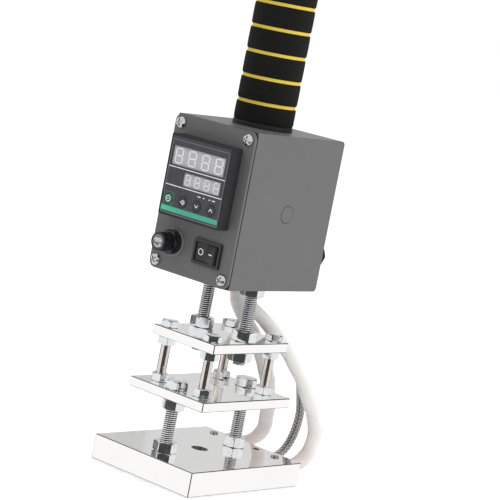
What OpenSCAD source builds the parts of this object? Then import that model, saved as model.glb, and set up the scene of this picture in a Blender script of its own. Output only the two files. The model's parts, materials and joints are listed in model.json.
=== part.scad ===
// Hand-held hot foil stamper: a heated plate hung on three tiers of bolts under a
// control box with a foam grip. Millimetres, +Z up, the front (control panel) at -Y.
// Origin: centre of the heated plate's underside, where the stamping die is fixed.

/* [Heating plate] */
// Width of the heating plate, along X
plate_w = 80; // [70:1:110]
// Depth of the heating plate, along Y
plate_d = 100; // [90:1:130]
// Thickness of the heating plate
plate_t = 15; // [14:0.5:24]
// Distance between the two heater cartridges
heater_pitch = 51; // [44:1:56]
// Diameter of a heater cartridge
heater_d = 9.5; // [8:0.5:10]
// Length of a heater cartridge
heater_l = 80; // [50:1:84]
// Sideways place of the temperature probe
probe_x = 9; // [7:0.5:14]
// Diameter of the temperature probe
probe_d = 4.5; // [3:0.5:6]
// Diameter of the die screw hole
die_hole_d = 5.2; // [4.2:0.1:6.2]

/* [Tiers] */
// Width of the middle plate
mid_w = 60; // [54:1:76]
// Depth of the middle plate
mid_d = 80; // [76:1:98]
// Thickness of the middle plate
mid_t = 6; // [5:0.5:10]
// Clear height between heating plate and middle plate
mid_gap = 32.5; // [26:0.5:50]
// Width of the upper plate
up_w = 50; // [46:1:60]
// Depth of the upper plate
up_d = 68; // [62:1:80]
// Thickness of the upper plate
up_t = 6; // [5:0.5:10]
// Clear height between middle plate and upper plate
up_gap = 27.5; // [22:0.5:40]
// Clear height between upper plate and control box
box_gap = 34; // [26:0.5:50]
// Distance between the two lower bolts, along Y
lower_pitch = 63; // [58:1:66]
// Distance between the two upper rods, along X
rod_pitch = 34; // [30:1:36]
// Distance from a post to the side edge of the upper plate
post_edge_x = 7.5; // [6:0.5:9]
// Distance from a post to the front edge of the upper plate
post_edge_y = 6; // [6:0.5:9]

/* [Fasteners] */
// Diameter of rods and lower bolts
rod_d = 8; // [6.8:0.2:9.6]
// Width across flats of their nuts and heads
rod_af = 13; // [12:0.5:15]
// Height of their nuts
rod_nut_h = 6.5; // [5:0.25:8]
// Height of the lower bolts' heads
rod_head_h = 5.3; // [4:0.1:7]
// Diameter of the corner posts
post_d = 6; // [5:0.2:7]
// Width across flats of the posts' nuts and heads
post_af = 10; // [8.5:0.5:11]
// Height of the posts' nuts
post_nut_h = 5; // [4:0.25:6]
// Height of the posts' heads
post_head_h = 4; // [3:0.25:5]

/* [Control box] */
// Width of the control box
box_w = 63; // [62:1:80]
// Depth of the control box with its front panel
box_d = 82.5; // [80:0.5:110]
// Height of the control box
box_h = 92.5; // [90:0.5:120]
// Thickness of the box sheet
wall = 1.5; // [1.2:0.1:2]
// Thickness of the front panel
panel_t = 2; // [1.5:0.1:3]
// Corner radius of the front panel
panel_r = 4.5; // [2:0.5:6]
// Distance from a panel screw to the panel's edges
screw_edge = 5; // [4.5:0.1:6]
// Diameter of the plugged hole in the box side
side_hole_d = 10.6; // [8:0.2:14]

/* [Controls] */
// Outer size of the square temperature controller
ctl_w = 48; // [46:0.5:50]
// How far the controller stands proud of the panel
ctl_proud = 8.6; // [7.5:0.1:11]
// Length of the controller behind the panel
ctl_depth = 60; // [50:1:64]
// Distance from the controller's top edge to the panel's top edge
ctl_drop = 11; // [10:0.5:12]
// Diameter of a controller key
key_d = 6.6; // [5:0.1:7.4]
// Travel of a controller key
key_travel = 0.5; // [0.3:0.1:0.8]
// Sideways place of the fuse holder
fuse_x = -15.5; // [-17:0.5:-14]
// Height of the fuse holder above the box's underside
fuse_up = 18; // [16:0.5:19]
// Diameter of the fuse cap
fuse_cap_d = 11.2; // [10:0.1:12]
// Sideways place of the rocker switch
switch_x = 12.5; // [11:0.5:15]
// Height of the rocker switch above the box's underside
switch_up = 17.5; // [16:0.5:19]
// Tilt of the rocker each way
rocker_tilt = 8; // [5:1:9]

/* [Grip] */
// Outer diameter of the foam grip
grip_d = 36; // [32:1:42]
// Height of one foam band
band_pitch = 14.7; // [12:0.1:17]
// Number of foam bands
bands = 8; // [6:1:9]
// Outer diameter of the grip's core tube
core_d = 22; // [18:1:25]
// Thickness of the collar under the grip
collar_t = 3; // [2:0.5:5]

/* [Leads] */
// Diameter of a heater lead sleeve
sleeve_d = 8; // [7:0.5:9]
// Diameter of one strand of the probe lead
strand_d = 3; // [2.4:0.2:3.2]

/* [Hidden] */
$fn = 64;
eps = 0.01;
// Radial clearances: in a threaded hole, in a drilled hole, and round a turning piece
thread_fit = 0.05;
drill_fit = 0.25;
turn_fit = 0.08;
// Heights of the tiers
mid_z = plate_t + mid_gap;
mid_top = mid_z + mid_t;
up_z = mid_top + up_gap;
up_top = up_z + up_t;
box_z = up_top + box_gap;
box_top = box_z + box_h;
post_x = up_w / 2 - post_edge_x;
post_y = up_d / 2 - post_edge_y;
heater_x = heater_pitch / 2;
heater_z = plate_t / 2;
back_y = plate_d / 2;
// Set screws sit this far in from the plate's rear edge, proud of its top by screw_proud
set_in = 8.5;
set_d = 5;
screw_proud = 0.8;
lock_d = 4;
heater_bore = heater_d + 0.1;
probe_bore = probe_d + 0.1;
probe_l = 30;
stub_l = 2;
lower_hole_l = min(11, plate_t - 3);
lower_y = lower_pitch / 2;
rod_x = rod_pitch / 2;
washer_t = 1.6;
// Box planes
front_y = -box_d / 2;
seat_y = front_y + panel_t;
rear_y = box_d / 2;
bend_r = 2.5;
flange_w = 9;
screw_x = box_w / 2 - screw_edge;
screw_d = 4;
screw_head_d = 7.2;
screw_head_h = 2.4;
floor_z = box_z + wall;
// Controller planes and sizes
ctl_z = box_top - ctl_drop - ctl_w / 2;
ctl_face = front_y - ctl_proud;
ctl_body = ctl_w - 3.4;
cut_w = ctl_body + 0.4;
overlay_in = 1.2;
overlay_t = 0.6;
overlay_w = ctl_w - 2 * overlay_in - 0.1;
case_wall = 1.4;
key_z = ctl_z - 14.1;
key_pitch = 11.3;
key_mid = -1;
key_gap = 0.2;
key_h = 3.2;
key_proud = 0.4;
win1 = [42, 11.8];
win1_c = [-0.6, 11.6];
win2 = [30, 8.6];
win2_c = [4.9, -1];
board_y = ctl_face + 7.2;
board_t = 1.2;
// Fuse holder
fuse_z = box_z + fuse_up;
fuse_hole_d = 12.2;
fuse_barrel_d = 12;
fuse_flange_d = 15;
fuse_flange_t = 2.6;
fuse_ring_d = 17;
fuse_ring_t = 0.8;
fuse_hex_af = 13;
fuse_hex_t = 2.2;
fuse_face_y = front_y - fuse_ring_t - fuse_flange_t - fuse_hex_t;
fuse_cap_h = 8;
fuse_neck_d = fuse_cap_d - 2.4;
fuse_link_d = 5.2;
fuse_link_l = 20;
fuse_bore_d = fuse_neck_d + 2 * turn_fit;
fuse_back = 34;
// Rocker switch
switch_z = box_z + switch_up;
switch_w = 21;
switch_h = 15;
switch_lip = 1.6;
switch_body_w = 19;
switch_body_h = 12.8;
switch_depth = 14;
rocker_half = 8.2;
rocker_h = 10.6;
rocker_rise = 3.4;
pivot_in = 3;
pivot_y = front_y - switch_lip + pivot_in;
pin_r = 1;
pin_in = 0.65;
// Grip
grip_z = box_top + collar_t;
grip_l = bands * band_pitch;
groove_d = grip_d - 1.6;
groove_h = 1.9;
cap_h = 5;
core_wall = 2;
// Cable gland at the rear
gland_z = box_z + 20;
gland_x = 14;
gland_d = 16;
gland_bore = 7.4;
gland_af = 19;
// Lead routes, chosen by hand
left_route = [[-22.5, 32, 125], [-22.5, 32, 115], [-22, 34, 104], [-20, 37, 97], [-13, 40, 88],
    [-7, 44, 78], [-4, 47, 70], [-1, 51, 60], [0, 55, 49], [-1, 59, 37], [-4, 63, 26],
    [-9, 66, 18], [-16, 65, 12], [-22, 61, 9]];
right_route = [[-5, 15.5, 125], [-5, 15.5, 116], [-4, 18.5, 108], [0, 25.5, 101.5], [7, 33.5, 94],
    [13, 45, 82], [18, 52, 72], [24, 58, 60], [27, 62, 51], [30, 66, 42], [32, 68, 31],
    [32, 67, 22], [30, 63, 13], [27, 59, 9]];
probe_route = [[-13, 24.5, 125], [-13, 24.5, 117], [-11.5, 28, 109], [-6.5, 34.5, 101.5],
    [0.5, 41.5, 93.5], [7.5, 50.5, 82], [12.5, 58, 72], [15.5, 64, 60], [16.5, 67.5, 48],
    [17, 69, 37], [15, 69, 24], [13, 65, 14], [10, 59, 9]];
strand_gap = 0.3;

// ---- shared shapes ----

// Hexagonal prism with both ends chamfered, bored through when bore > 0
module hex_nut(af, h, bore) {
    corner = af / sqrt(3);
    chamfer = (corner - af / 2) * tan(30);
    difference() {
        intersection() {
            cylinder(r = corner, h = h, $fn = 6);
            rotate_extrude()
                polygon([[0, 0], [af / 2, 0], [corner, chamfer], [corner, h - chamfer],
                    [af / 2, h], [0, h]]);
        }
        if (bore > 0) translate([0, 0, -1]) cylinder(d = bore, h = h + 2);
    }
}

// Hex bolt: head underside at z = 0, shank pointing down
module hex_bolt(af, head_h, d, shank) {
    union() {
        hex_nut(af, head_h, 0);
        translate([0, 0, -shank]) cylinder(d = d, h = shank + eps);
    }
}

// Rectangle with exact round corners, centred
module round_rect(w, h, r) {
    union() {
        square([w - 2 * r, h], center = true);
        square([w, h - 2 * r], center = true);
        for (x = [-1, 1], y = [-1, 1])
            translate([x * (w / 2 - r), y * (h / 2 - r)]) circle(r = r);
    }
}

// Profile in X-Z pushed from y0 towards +Y by t
module to_y(y0, t) {
    translate([0, y0 + t, 0]) rotate([90, 0, 0]) linear_extrude(t) children();
}

// Cylinder along Y from y0, centred on x, z
module y_rod(x, z, y0, l, d) {
    translate([x, y0, z]) rotate([-90, 0, 0]) cylinder(d = d, h = l);
}

module at_pair_x(d) {
    for (s = [-1, 1]) translate([s * d, 0, 0]) children();
}

module at_pair_y(d) {
    for (s = [-1, 1]) translate([0, s * d, 0]) children();
}

module at_posts() {
    for (x = [-1, 1], y = [-1, 1]) translate([x * post_x, y * post_y, 0]) children();
}

// ---- lead tubes: one polyhedron swept along the route ----

function unit(v) = v / norm(v);
function ring(p, t, r, n) =
    let (side = unit(cross(t, [1, -1, 0])), up = cross(side, t))
    [for (k = [0 : n - 1]) p + r * (cos(360 * k / n) * side + sin(360 * k / n) * up)];

// The tube starts straight, follows the route and ends square to the plate's rear face
module lead(route, exit, d, sides, shift) {
    path = [for (q = concat(route, [exit + [0, 2, 0], exit])) q + shift];
    last = len(path) - 1;
    points = [for (i = [0 : last])
        each ring(path[i], i == 0 ? [0, 0, -1] : i >= last - 1 ? [0, -1, 0]
            : unit(path[i + 1] - path[i - 1]), d / 2, sides)];
    walls = [for (i = [0 : last - 1], k = [0 : sides - 1])
        [i * sides + k, i * sides + (k + 1) % sides, (i + 1) * sides + (k + 1) % sides,
            (i + 1) * sides + k]];
    ends = [[for (k = [sides - 1 : -1 : 0]) k], [for (k = [0 : sides - 1]) last * sides + k]];
    polyhedron(points, concat(walls, ends));
}

// ---- heated end ----

module heating_plate() {
    color("gainsboro")
    difference() {
        translate([-plate_w / 2, -plate_d / 2, 0]) cube([plate_w, plate_d, plate_t]);
        for (s = [-1, 1]) {
            y_rod(s * heater_x, heater_z, back_y - heater_l, heater_l + 1, heater_bore);
            translate([s * heater_x, back_y - set_in, heater_z])
                cylinder(d = set_d + 2 * thread_fit, h = plate_t);
            translate([0, s * lower_y, plate_t - lower_hole_l])
                cylinder(d = rod_d + 2 * thread_fit, h = plate_t);
        }
        y_rod(probe_x, heater_z, back_y - probe_l, probe_l + 1, probe_bore);
        translate([probe_x, back_y - 7, heater_z]) cylinder(d = lock_d + 2 * thread_fit, h = plate_t);
        translate([0, 0, -1]) cylinder(d = die_hole_d, h = plate_t + 2);
        translate([0, 0, plate_t - 2.6]) cylinder(r1 = die_hole_d / 2, r2 = die_hole_d / 2 + 2.7, h = 2.7);
    }
}

module heater(s) {
    color("silver") y_rod(s * heater_x, heater_z, back_y - heater_l + 1, heater_l - 1 + stub_l, heater_d);
}

module heater_left() { heater(-1); }
module heater_right() { heater(1); }

module probe_tip() {
    color("silver") y_rod(probe_x, heater_z, back_y - probe_l + 1, probe_l - 1 + stub_l, probe_d);
}

// Slotted grub screw from z0 to z1
module grub(x, y, z0, z1, d) {
    translate([x, y, z0]) difference() {
        cylinder(d = d, h = z1 - z0);
        translate([-d, -0.4, z1 - z0 - 1.2]) cube([2 * d, 0.8, 2]);
    }
}

module heater_set_screws() {
    color("gray") union() {
        for (s = [-1, 1])
            grub(s * heater_x, back_y - set_in, heater_z + heater_d / 2, plate_t + screw_proud, set_d);
        grub(probe_x, back_y - 7, heater_z + probe_d / 2, plate_t - 1, lock_d);
    }
}

module lower_bolts() {
    color("lightgray") at_pair_y(lower_y) translate([0, 0, mid_top]) rotate([0, 0, 12])
        hex_bolt(rod_af, rod_head_h, rod_d, mid_top - plate_t + lower_hole_l - 0.5);
}

module base_lock_nuts() {
    color("lightgray") at_pair_y(lower_y) translate([0, 0, plate_t]) rotate([0, 0, 20])
        hex_nut(rod_af, rod_nut_h, rod_d);
}

module middle_plate_nuts() {
    color("lightgray") at_pair_y(lower_y) translate([0, 0, mid_z - rod_nut_h]) rotate([0, 0, 5])
        hex_nut(rod_af, rod_nut_h, rod_d);
}

// ---- tiers ----

module tier_plate(w, d, z, t) {
    translate([-w / 2, -d / 2, z]) cube([w, d, t]);
}

module middle_plate() {
    color("gainsboro") difference() {
        tier_plate(mid_w, mid_d, mid_z, mid_t);
        at_pair_y(lower_y) translate([0, 0, mid_z - 1]) cylinder(d = rod_d + 2 * drill_fit, h = mid_t + 2);
        at_posts() translate([0, 0, mid_z - 1]) cylinder(d = post_d + 2 * thread_fit, h = mid_t + 2);
    }
}

module post_bolts() {
    color("rosybrown") at_posts() translate([0, 0, up_top])
        hex_bolt(post_af, post_head_h, post_d, up_top - mid_z);
}

module post_lower_nuts() {
    color("lightgray") at_posts() translate([0, 0, mid_top]) hex_nut(post_af, post_nut_h, post_d);
}

module post_upper_nuts() {
    color("lightgray") at_posts() translate([0, 0, up_z - post_nut_h]) hex_nut(post_af, post_nut_h, post_d);
}

module upper_plate() {
    color("gainsboro") difference() {
        tier_plate(up_w, up_d, up_z, up_t);
        at_pair_x(rod_x) translate([0, 0, up_z - 1]) cylinder(d = rod_d + 2 * drill_fit, h = up_t + 2);
        at_posts() translate([0, 0, up_z - 1]) cylinder(d = post_d + 2 * drill_fit, h = up_t + 2);
    }
}

rod_z = up_z - rod_nut_h - 2;
rod_top = floor_z + rod_nut_h + 2;

module upper_rods() {
    color("lightgray") at_pair_x(rod_x) translate([0, 0, rod_z]) cylinder(d = rod_d, h = rod_top - rod_z);
}

module rod_nuts(z, turn) {
    color("lightgray") at_pair_x(rod_x) translate([0, 0, z]) rotate([0, 0, turn])
        hex_nut(rod_af, rod_nut_h, rod_d);
}

module rod_nuts_below() { rod_nuts(up_z - rod_nut_h, 12); }
module rod_nuts_above() { rod_nuts(up_top, 20); }
module box_nuts_below() { rod_nuts(box_z - rod_nut_h, 8); }
module box_nuts_inside() { rod_nuts(floor_z, 25); }

// ---- control box ----

// Outline of the folded box, shrunk by c all round; open at the front
module box_block(c) {
    r = max(0.5, bend_r - c);
    depth = rear_y - seat_y;
    intersection() {
        translate([-box_w / 2 + c, 0, 0]) rotate([90, 0, 90]) linear_extrude(box_w - 2 * c)
            translate([seat_y + depth / 2, box_z + box_h / 2]) union() {
                translate([-depth / 2 - 1, -box_h / 2 + c]) square([depth + 1 - c - r, box_h - 2 * c]);
                translate([0, -box_h / 2 + c + r]) square([depth / 2 - c, box_h - 2 * c - 2 * r]);
                for (s = [-1, 1]) translate([depth / 2 - c - r, s * (box_h / 2 - c - r)]) circle(r = r);
            }
        translate([-box_w / 2 + c, seat_y - (c > 0 ? 1 : 0), box_z + c])
            cube([box_w - 2 * c, depth + 1, box_h - 2 * c]);
    }
}

module at_panel_screws() {
    for (x = [-1, 1], z = [box_z + screw_edge, box_top - screw_edge])
        translate([x * screw_x, 0, z]) rotate([-90, 0, 0]) children();
}

rivet_d = 6;

module box_shell() {
    color("#3a3a3c") difference() {
        union() {
            difference() {
                box_block(0);
                box_block(wall);
            }
            for (x = [-1, 1], z = [0, 1])
                translate([x > 0 ? box_w / 2 - flange_w : -box_w / 2,
                    seat_y, z > 0 ? box_top - flange_w : box_z])
                    cube([flange_w, wall, flange_w]);
        }
        at_panel_screws() translate([0, 0, seat_y - 1]) cylinder(d = rivet_d + 2 * thread_fit, h = wall + 2);
        at_pair_x(rod_x) translate([0, 0, box_z - 1]) cylinder(d = rod_d + 2 * drill_fit, h = wall + 2);
        translate([0, 0, box_top - wall - 1]) cylinder(d = rod_d + 2 * drill_fit, h = wall + 2);
        translate([box_w / 2 - wall - 1, 0, box_z + box_h / 2]) rotate([0, 90, 0])
            cylinder(d = side_hole_d, h = wall + 2);
        for (e = [left_route[0], right_route[0], probe_route[0]])
            translate([e[0], e[1], box_z - 1]) cylinder(d = lead_hole(e), h = wall + 2);
        y_rod(gland_x, gland_z, rear_y - wall - 1, wall + 2, gland_d + 2 * drill_fit);
    }
}

// Hole in the box floor for the grommet round each lead
function lead_hole(e) = e == probe_route[0] ? 2 * strand_d + strand_gap + 2.4 : sleeve_d + 2.4;

module panel_rivet_nuts() {
    color("silver") at_panel_screws() translate([0, 0, seat_y]) difference() {
        union() {
            cylinder(d = rivet_d, h = 7);
            translate([0, 0, wall]) cylinder(d = rivet_d + 0.8, h = 2);
        }
        translate([0, 0, -1]) cylinder(d = screw_d + 2 * thread_fit, h = 9);
    }
}

module front_panel() {
    color("#3a3a3c") difference() {
        to_y(front_y, panel_t) translate([0, box_z + box_h / 2]) round_rect(box_w, box_h, panel_r);
        to_y(front_y - 1, panel_t + 2) translate([0, ctl_z]) square([cut_w, cut_w], center = true);
        to_y(front_y - 1, panel_t + 2) translate([switch_x, switch_z])
            square([switch_body_w + 0.3, switch_body_h + 0.3], center = true);
        y_rod(fuse_x, fuse_z, front_y - 1, panel_t + 2, fuse_hole_d);
        at_panel_screws() translate([0, 0, front_y - 1]) cylinder(d = screw_d + 2 * drill_fit, h = panel_t + 2);
    }
}

// Pan head with a cross recess
module panel_screws() {
    color("silver") at_panel_screws() translate([0, 0, front_y]) difference() {
        union() {
            cylinder(d = screw_d, h = panel_t + 6);
            rotate([180, 0, 0]) rotate_extrude() intersection() {
                square([screw_head_d / 2, screw_head_h]);
                union() {
                    square([screw_head_d / 2 - 0.8, screw_head_h]);
                    translate([screw_head_d / 2 - 1.6, screw_head_h - 1.6]) circle(r = 1.6);
                    square([screw_head_d / 2, screw_head_h - 1.6]);
                }
            }
        }
        for (a = [20, 110]) rotate([0, 0, a]) translate([-1.9, -0.4, -screw_head_h - 1]) cube([3.8, 0.8, 2.5]);
    }
}

module side_plug() {
    color("#3a3a3c") translate([box_w / 2 - wall, 0, box_z + box_h / 2]) rotate([0, 90, 0]) union() {
        cylinder(d = side_hole_d - 0.5, h = wall + 0.15);
        translate([0, 0, -1]) cylinder(d = side_hole_d + 2, h = 1);
    }
}

// ---- temperature controller ----

module ctl_square(w) {
    translate([0, ctl_z]) square([w, w], center = true);
}

module at_keys() {
    for (i = [0 : 3]) translate([key_mid + (i - 1.5) * key_pitch, 0, key_z]) children();
}

module windows(grow) {
    translate([win1_c[0], ctl_z + win1_c[1]]) square(win1 + [grow, grow], center = true);
    translate([win2_c[0], ctl_z + win2_c[1]]) square(win2 + [grow, grow], center = true);
}

module controller_case() {
    color("#1c1c1e") difference() {
        to_y(front_y + eps, ctl_depth - eps) ctl_square(ctl_body);
        to_y(front_y - 1, ctl_depth - 2) ctl_square(ctl_body - 2 * case_wall);
    }
}

module controller_bezel() {
    color("#2a2a2c") difference() {
        to_y(ctl_face, ctl_proud) translate([0, ctl_z]) round_rect(ctl_w, ctl_w, 1);
        to_y(ctl_face - 1, 1 + overlay_t) ctl_square(overlay_w + 0.1);
        to_y(ctl_face - 1, 3) windows(0);
        to_y(ctl_face + 2, ctl_proud) ctl_square(ctl_body - 0.6);
        at_keys() y_rod(0, 0, ctl_face - 1, 4, key_d + 2 * key_gap);
    }
}

module controller_overlay() {
    color("#4a4a4e") difference() {
        to_y(ctl_face, overlay_t) ctl_square(overlay_w);
        to_y(ctl_face - 1, overlay_t + 2) windows(-0.6);
        at_keys() y_rod(0, 0, ctl_face - 1, overlay_t + 2, key_d + 2 * key_gap);
    }
}

// Seven-segment block of four digits with raised segment bars
module display(size, c, digit_h) {
    seg = digit_h * 0.11;
    digit_w = digit_h * 0.66;
    pitch = size[0] / 4;
    to_y(ctl_face + 0.9, board_y - ctl_face - 0.9) translate([c[0], ctl_z + c[1]])
        square(size - [0.4, 0.4], center = true);
    for (i = [0 : 3]) to_y(ctl_face + 0.75, 0.3)
        translate([c[0] + (i - 1.5) * pitch, ctl_z + c[1]]) union() {
            for (r = [-1, 0, 1]) translate([0, r * (digit_h - seg) / 2])
                square([digit_w - 2 * seg, seg], center = true);
            for (x = [-1, 1], z = [-1, 1])
                translate([x * (digit_w - seg) / 2, z * (digit_h - seg) / 4])
                    square([seg, digit_h / 2 - seg], center = true);
        }
}

module upper_display() { color("silver") display(win1, win1_c, 9.6); }
module lower_display() { color("silver") display(win2, win2_c, 6.6); }

// One key: cap in the bezel, flange behind it
module key(i, c) {
    color(c) translate([key_mid + (i - 1.5) * key_pitch, 0, key_z]) union() {
        y_rod(0, 0, ctl_face - key_proud, key_h, key_d);
        y_rod(0, 0, ctl_face - key_proud + key_h - eps, 0.8, key_d + 1);
    }
}

module key_set() { key(0, "seagreen"); }
module key_shift() { key(1, "#4a4a4e"); }
module key_down() { key(2, "#4a4a4e"); }
module key_up() { key(3, "#4a4a4e"); }

module controller_board() {
    color("darkgreen") to_y(board_y, board_t) ctl_square(ctl_body - 2 * case_wall - 0.6);
}

module key_switches() {
    switch_front = ctl_face - key_proud + key_h + 0.8 + key_travel + 0.2;
    color("black") at_keys() union() {
        y_rod(0, 0, switch_front, 1.2, 3);
        translate([-3, switch_front + 1, -3]) cube([6, board_y - switch_front - 1, 6]);
    }
}

module controller_terminals() {
    rear = front_y + ctl_depth;
    color("#1c1c1e") difference() {
        to_y(rear, 7) ctl_square(ctl_body - 6);
        for (x = [-1, 1], i = [0 : 4])
            y_rod(x * 13, ctl_z + (i - 2) * 7.4, rear + 3, 5, 4.6);
    }
}

module controller_clamp() {
    color("#1c1c1e") difference() {
        to_y(seat_y, 9) ctl_square(ctl_body + 5);
        to_y(seat_y - 1, 11) ctl_square(ctl_body + 0.3);
        to_y(seat_y + 3, 12) translate([0, ctl_z]) union() {
            square([ctl_body - 14, ctl_w * 2], center = true);
            square([ctl_w * 2, ctl_body - 14], center = true);
        }
    }
}

// ---- fuse holder: the link slides out along -Y once the cap is turned ----

module fuse_washer() {
    color("gray") difference() {
        y_rod(fuse_x, fuse_z, front_y - fuse_ring_t, fuse_ring_t, fuse_ring_d);
        y_rod(fuse_x, fuse_z, front_y - 2, 3, fuse_hole_d);
    }
}

module fuse_holder() {
    flange_y = front_y - fuse_ring_t - fuse_flange_t;
    color("#161616") difference() {
        union() {
            y_rod(fuse_x, fuse_z, flange_y, fuse_flange_t, fuse_flange_d);
            translate([fuse_x, fuse_face_y, fuse_z]) rotate([-90, 0, 0]) hex_nut(fuse_hex_af, fuse_hex_t + eps, 0);
            y_rod(fuse_x, fuse_z, flange_y, fuse_back, fuse_barrel_d);
            translate([fuse_x - 2, flange_y + fuse_back - eps, fuse_z - 0.4]) cube([4, 7, 0.8]);
        }
        y_rod(fuse_x, fuse_z, fuse_face_y - 1, fuse_back, fuse_bore_d);
    }
}

module fuse_holder_nut() {
    color("#161616") translate([fuse_x, seat_y, fuse_z]) rotate([-90, 0, 0]) hex_nut(15, 3, fuse_barrel_d);
}

module fuse_link() {
    color("lightgray") union() {
        y_rod(fuse_x, fuse_z, fuse_face_y + 5, fuse_link_l, fuse_link_d - 0.4);
        for (e = [0, fuse_link_l - 5]) y_rod(fuse_x, fuse_z, fuse_face_y + 5 + e, 5, fuse_link_d);
    }
}

// Ribbed cap with the clip that carries the fuse link
module fuse_cap() {
    ribs = 24;
    cap_y = fuse_face_y - fuse_cap_h;
    color("#1a1a1a") difference() {
        union() {
            y_rod(fuse_x, fuse_z, cap_y, fuse_cap_h - 0.3, fuse_cap_d - 0.5);
            translate([fuse_x, 0, fuse_z]) for (i = [0 : ribs - 1]) rotate([0, i * 360 / ribs, 0])
                translate([fuse_cap_d / 2 - 0.6, cap_y + 0.8, -0.35]) cube([0.6, fuse_cap_h - 1.1, 0.7]);
            y_rod(fuse_x, fuse_z, fuse_face_y - 0.5, 10, fuse_neck_d);
        }
        y_rod(fuse_x, fuse_z, fuse_face_y + 4.7, 12, fuse_link_d + 0.4);
    }
}

// ---- rocker switch: the rocker turns about a vertical pin ----

module switch_frame() {
    color("#151515") difference() {
        union() {
            to_y(front_y - switch_lip, switch_lip) translate([switch_x, switch_z])
                round_rect(switch_w, switch_h, 1);
            to_y(front_y - eps, switch_depth) translate([switch_x, switch_z])
                square([switch_body_w, switch_body_h], center = true);
        }
        to_y(front_y - switch_lip - 1, 10.6) translate([switch_x, switch_z])
            square([2 * rocker_half + 1.4, rocker_h + 0.5], center = true);
        translate([switch_x, pivot_y, switch_z - rocker_h / 2 - pin_in - 0.15])
            cylinder(r = pin_r + turn_fit, h = rocker_h + 2 * pin_in + 0.3);
    }
}

// V-shaped rocker lying in its off position, left side pressed
module rocker() {
    color("#1d1d1f") translate([switch_x, pivot_y, switch_z]) rotate([0, 0, -rocker_tilt]) union() {
        translate([0, 0, -rocker_h / 2]) linear_extrude(rocker_h)
            polygon([[-rocker_half, 0.5], [-rocker_half, -rocker_rise], [0, 0.8 - rocker_rise],
                [rocker_half, -rocker_rise], [rocker_half, 0.5], [3, 3], [-3, 3]]);
        translate([0, 0, -rocker_h / 2 - pin_in]) cylinder(r = pin_r, h = rocker_h + 2 * pin_in);
    }
}

module switch_terminals() {
    color("gold") for (s = [-1, 1])
        translate([switch_x + s * 5 - 0.4, front_y + switch_depth - eps, switch_z - 2.4]) cube([0.8, 9, 4.8]);
}

// ---- grip ----

module grip_collar() {
    color("#141414") translate([0, 0, box_top]) difference() {
        rotate_extrude() polygon([[0, 0], [grip_d / 2, 0], [grip_d / 2, collar_t - 0.6],
            [grip_d / 2 - 0.6, collar_t], [0, collar_t]]);
        translate([0, 0, -1]) cylinder(d = rod_d + 2 * drill_fit, h = collar_t + 2);
    }
}

module grip_core() {
    color("dimgray") translate([0, 0, grip_z]) difference() {
        cylinder(d = core_d, h = grip_l + 1);
        translate([0, 0, 16]) cylinder(d = core_d - 2 * core_wall, h = grip_l);
        translate([0, 0, -1]) cylinder(d = rod_d + 2 * thread_fit, h = 20);
    }
}

// Foam tube with a coloured groove between its bands
module foam_grip() {
    color("#1b1b1b") translate([0, 0, grip_z]) difference() {
        cylinder(d = grip_d, h = grip_l);
        translate([0, 0, -1]) cylinder(d = core_d + 0.1, h = grip_l + 2);
        for (i = [1 : bands - 1]) translate([0, 0, i * band_pitch - collar_t - groove_h / 2]) difference() {
            cylinder(d = grip_d + 2, h = groove_h);
            translate([0, 0, -1]) cylinder(d = groove_d, h = groove_h + 2);
        }
    }
}

module grip_end_cap() {
    color("#141414") translate([0, 0, grip_z + grip_l]) difference() {
        union() {
            rotate_extrude() polygon([[0, 0], [grip_d / 2 - 1, 0], [grip_d / 2 - 1, cap_h - 2],
                [grip_d / 2 - 3, cap_h], [0, cap_h]]);
            translate([0, 0, -10]) cylinder(d = core_d - 2 * core_wall, h = 10 + eps);
        }
        difference() {
            translate([0, 0, -1]) cylinder(d = core_d + 0.1, h = 2);
            translate([0, 0, -2]) cylinder(d = core_d - 2 * core_wall, h = 4);
        }
    }
}

module grip_bolt() {
    color("silver") translate([0, 0, box_top - wall - washer_t]) rotate([180, 0, 0])
        hex_nut(rod_af, rod_head_h, 0);
    color("silver") translate([0, 0, box_top - wall - washer_t - eps])
        cylinder(d = rod_d, h = wall + washer_t + collar_t + 14);
}

module grip_washer() {
    color("silver") translate([0, 0, box_top - wall - washer_t]) difference() {
        cylinder(d = 17, h = washer_t);
        translate([0, 0, -1]) cylinder(d = rod_d + 2 * drill_fit, h = washer_t + 2);
    }
}

// ---- wiring ----

module terminal_strip() {
    strip_x = 2;
    strip_y = 9;
    poles = 3;
    pole_pitch = 7.6;
    color("whitesmoke") difference() {
        translate([strip_x, strip_y, floor_z]) cube([poles * pole_pitch + 0.6, 9, 11]);
        for (i = [0 : poles - 1]) {
            translate([strip_x + 4.1 + i * pole_pitch, strip_y + 4.5, floor_z + 4]) cylinder(d = 5, h = 12);
            y_rod(strip_x + 4.1 + i * pole_pitch, floor_z + 3.5, strip_y - 1, 11, 3.6);
        }
    }
}

module lead_grommets() {
    color("#161616") for (e = [left_route[0], right_route[0], probe_route[0]])
        translate([e[0], e[1], box_z]) difference() {
            union() {
                translate([0, 0, -1.6]) cylinder(d = lead_hole(e) + 2, h = 1.6);
                translate([0, 0, -eps]) cylinder(d = lead_hole(e), h = wall + 2 * eps);
                translate([0, 0, wall]) cylinder(d = lead_hole(e) + 2, h = 1.4);
            }
            translate([0, 0, -3]) cylinder(d = lead_hole(e) - 2, h = 8);
        }
}

module heater_sleeve_left() {
    color("linen") lead(left_route, [-heater_x, back_y + stub_l, heater_z], sleeve_d, 12, [0, 0, 0]);
}

module heater_sleeve_right() {
    color("linen") lead(right_route, [heater_x, back_y + stub_l, heater_z], sleeve_d, 12, [0, 0, 0]);
}

module probe_lead() {
    half = (strand_d + strand_gap) / 2;
    color("gray") for (s = [-1, 1])
        lead(probe_route, [probe_x, back_y + stub_l, heater_z], strand_d, 8, [s * half, 0, 0]);
}

// ---- mains cable gland in the rear wall ----

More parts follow.
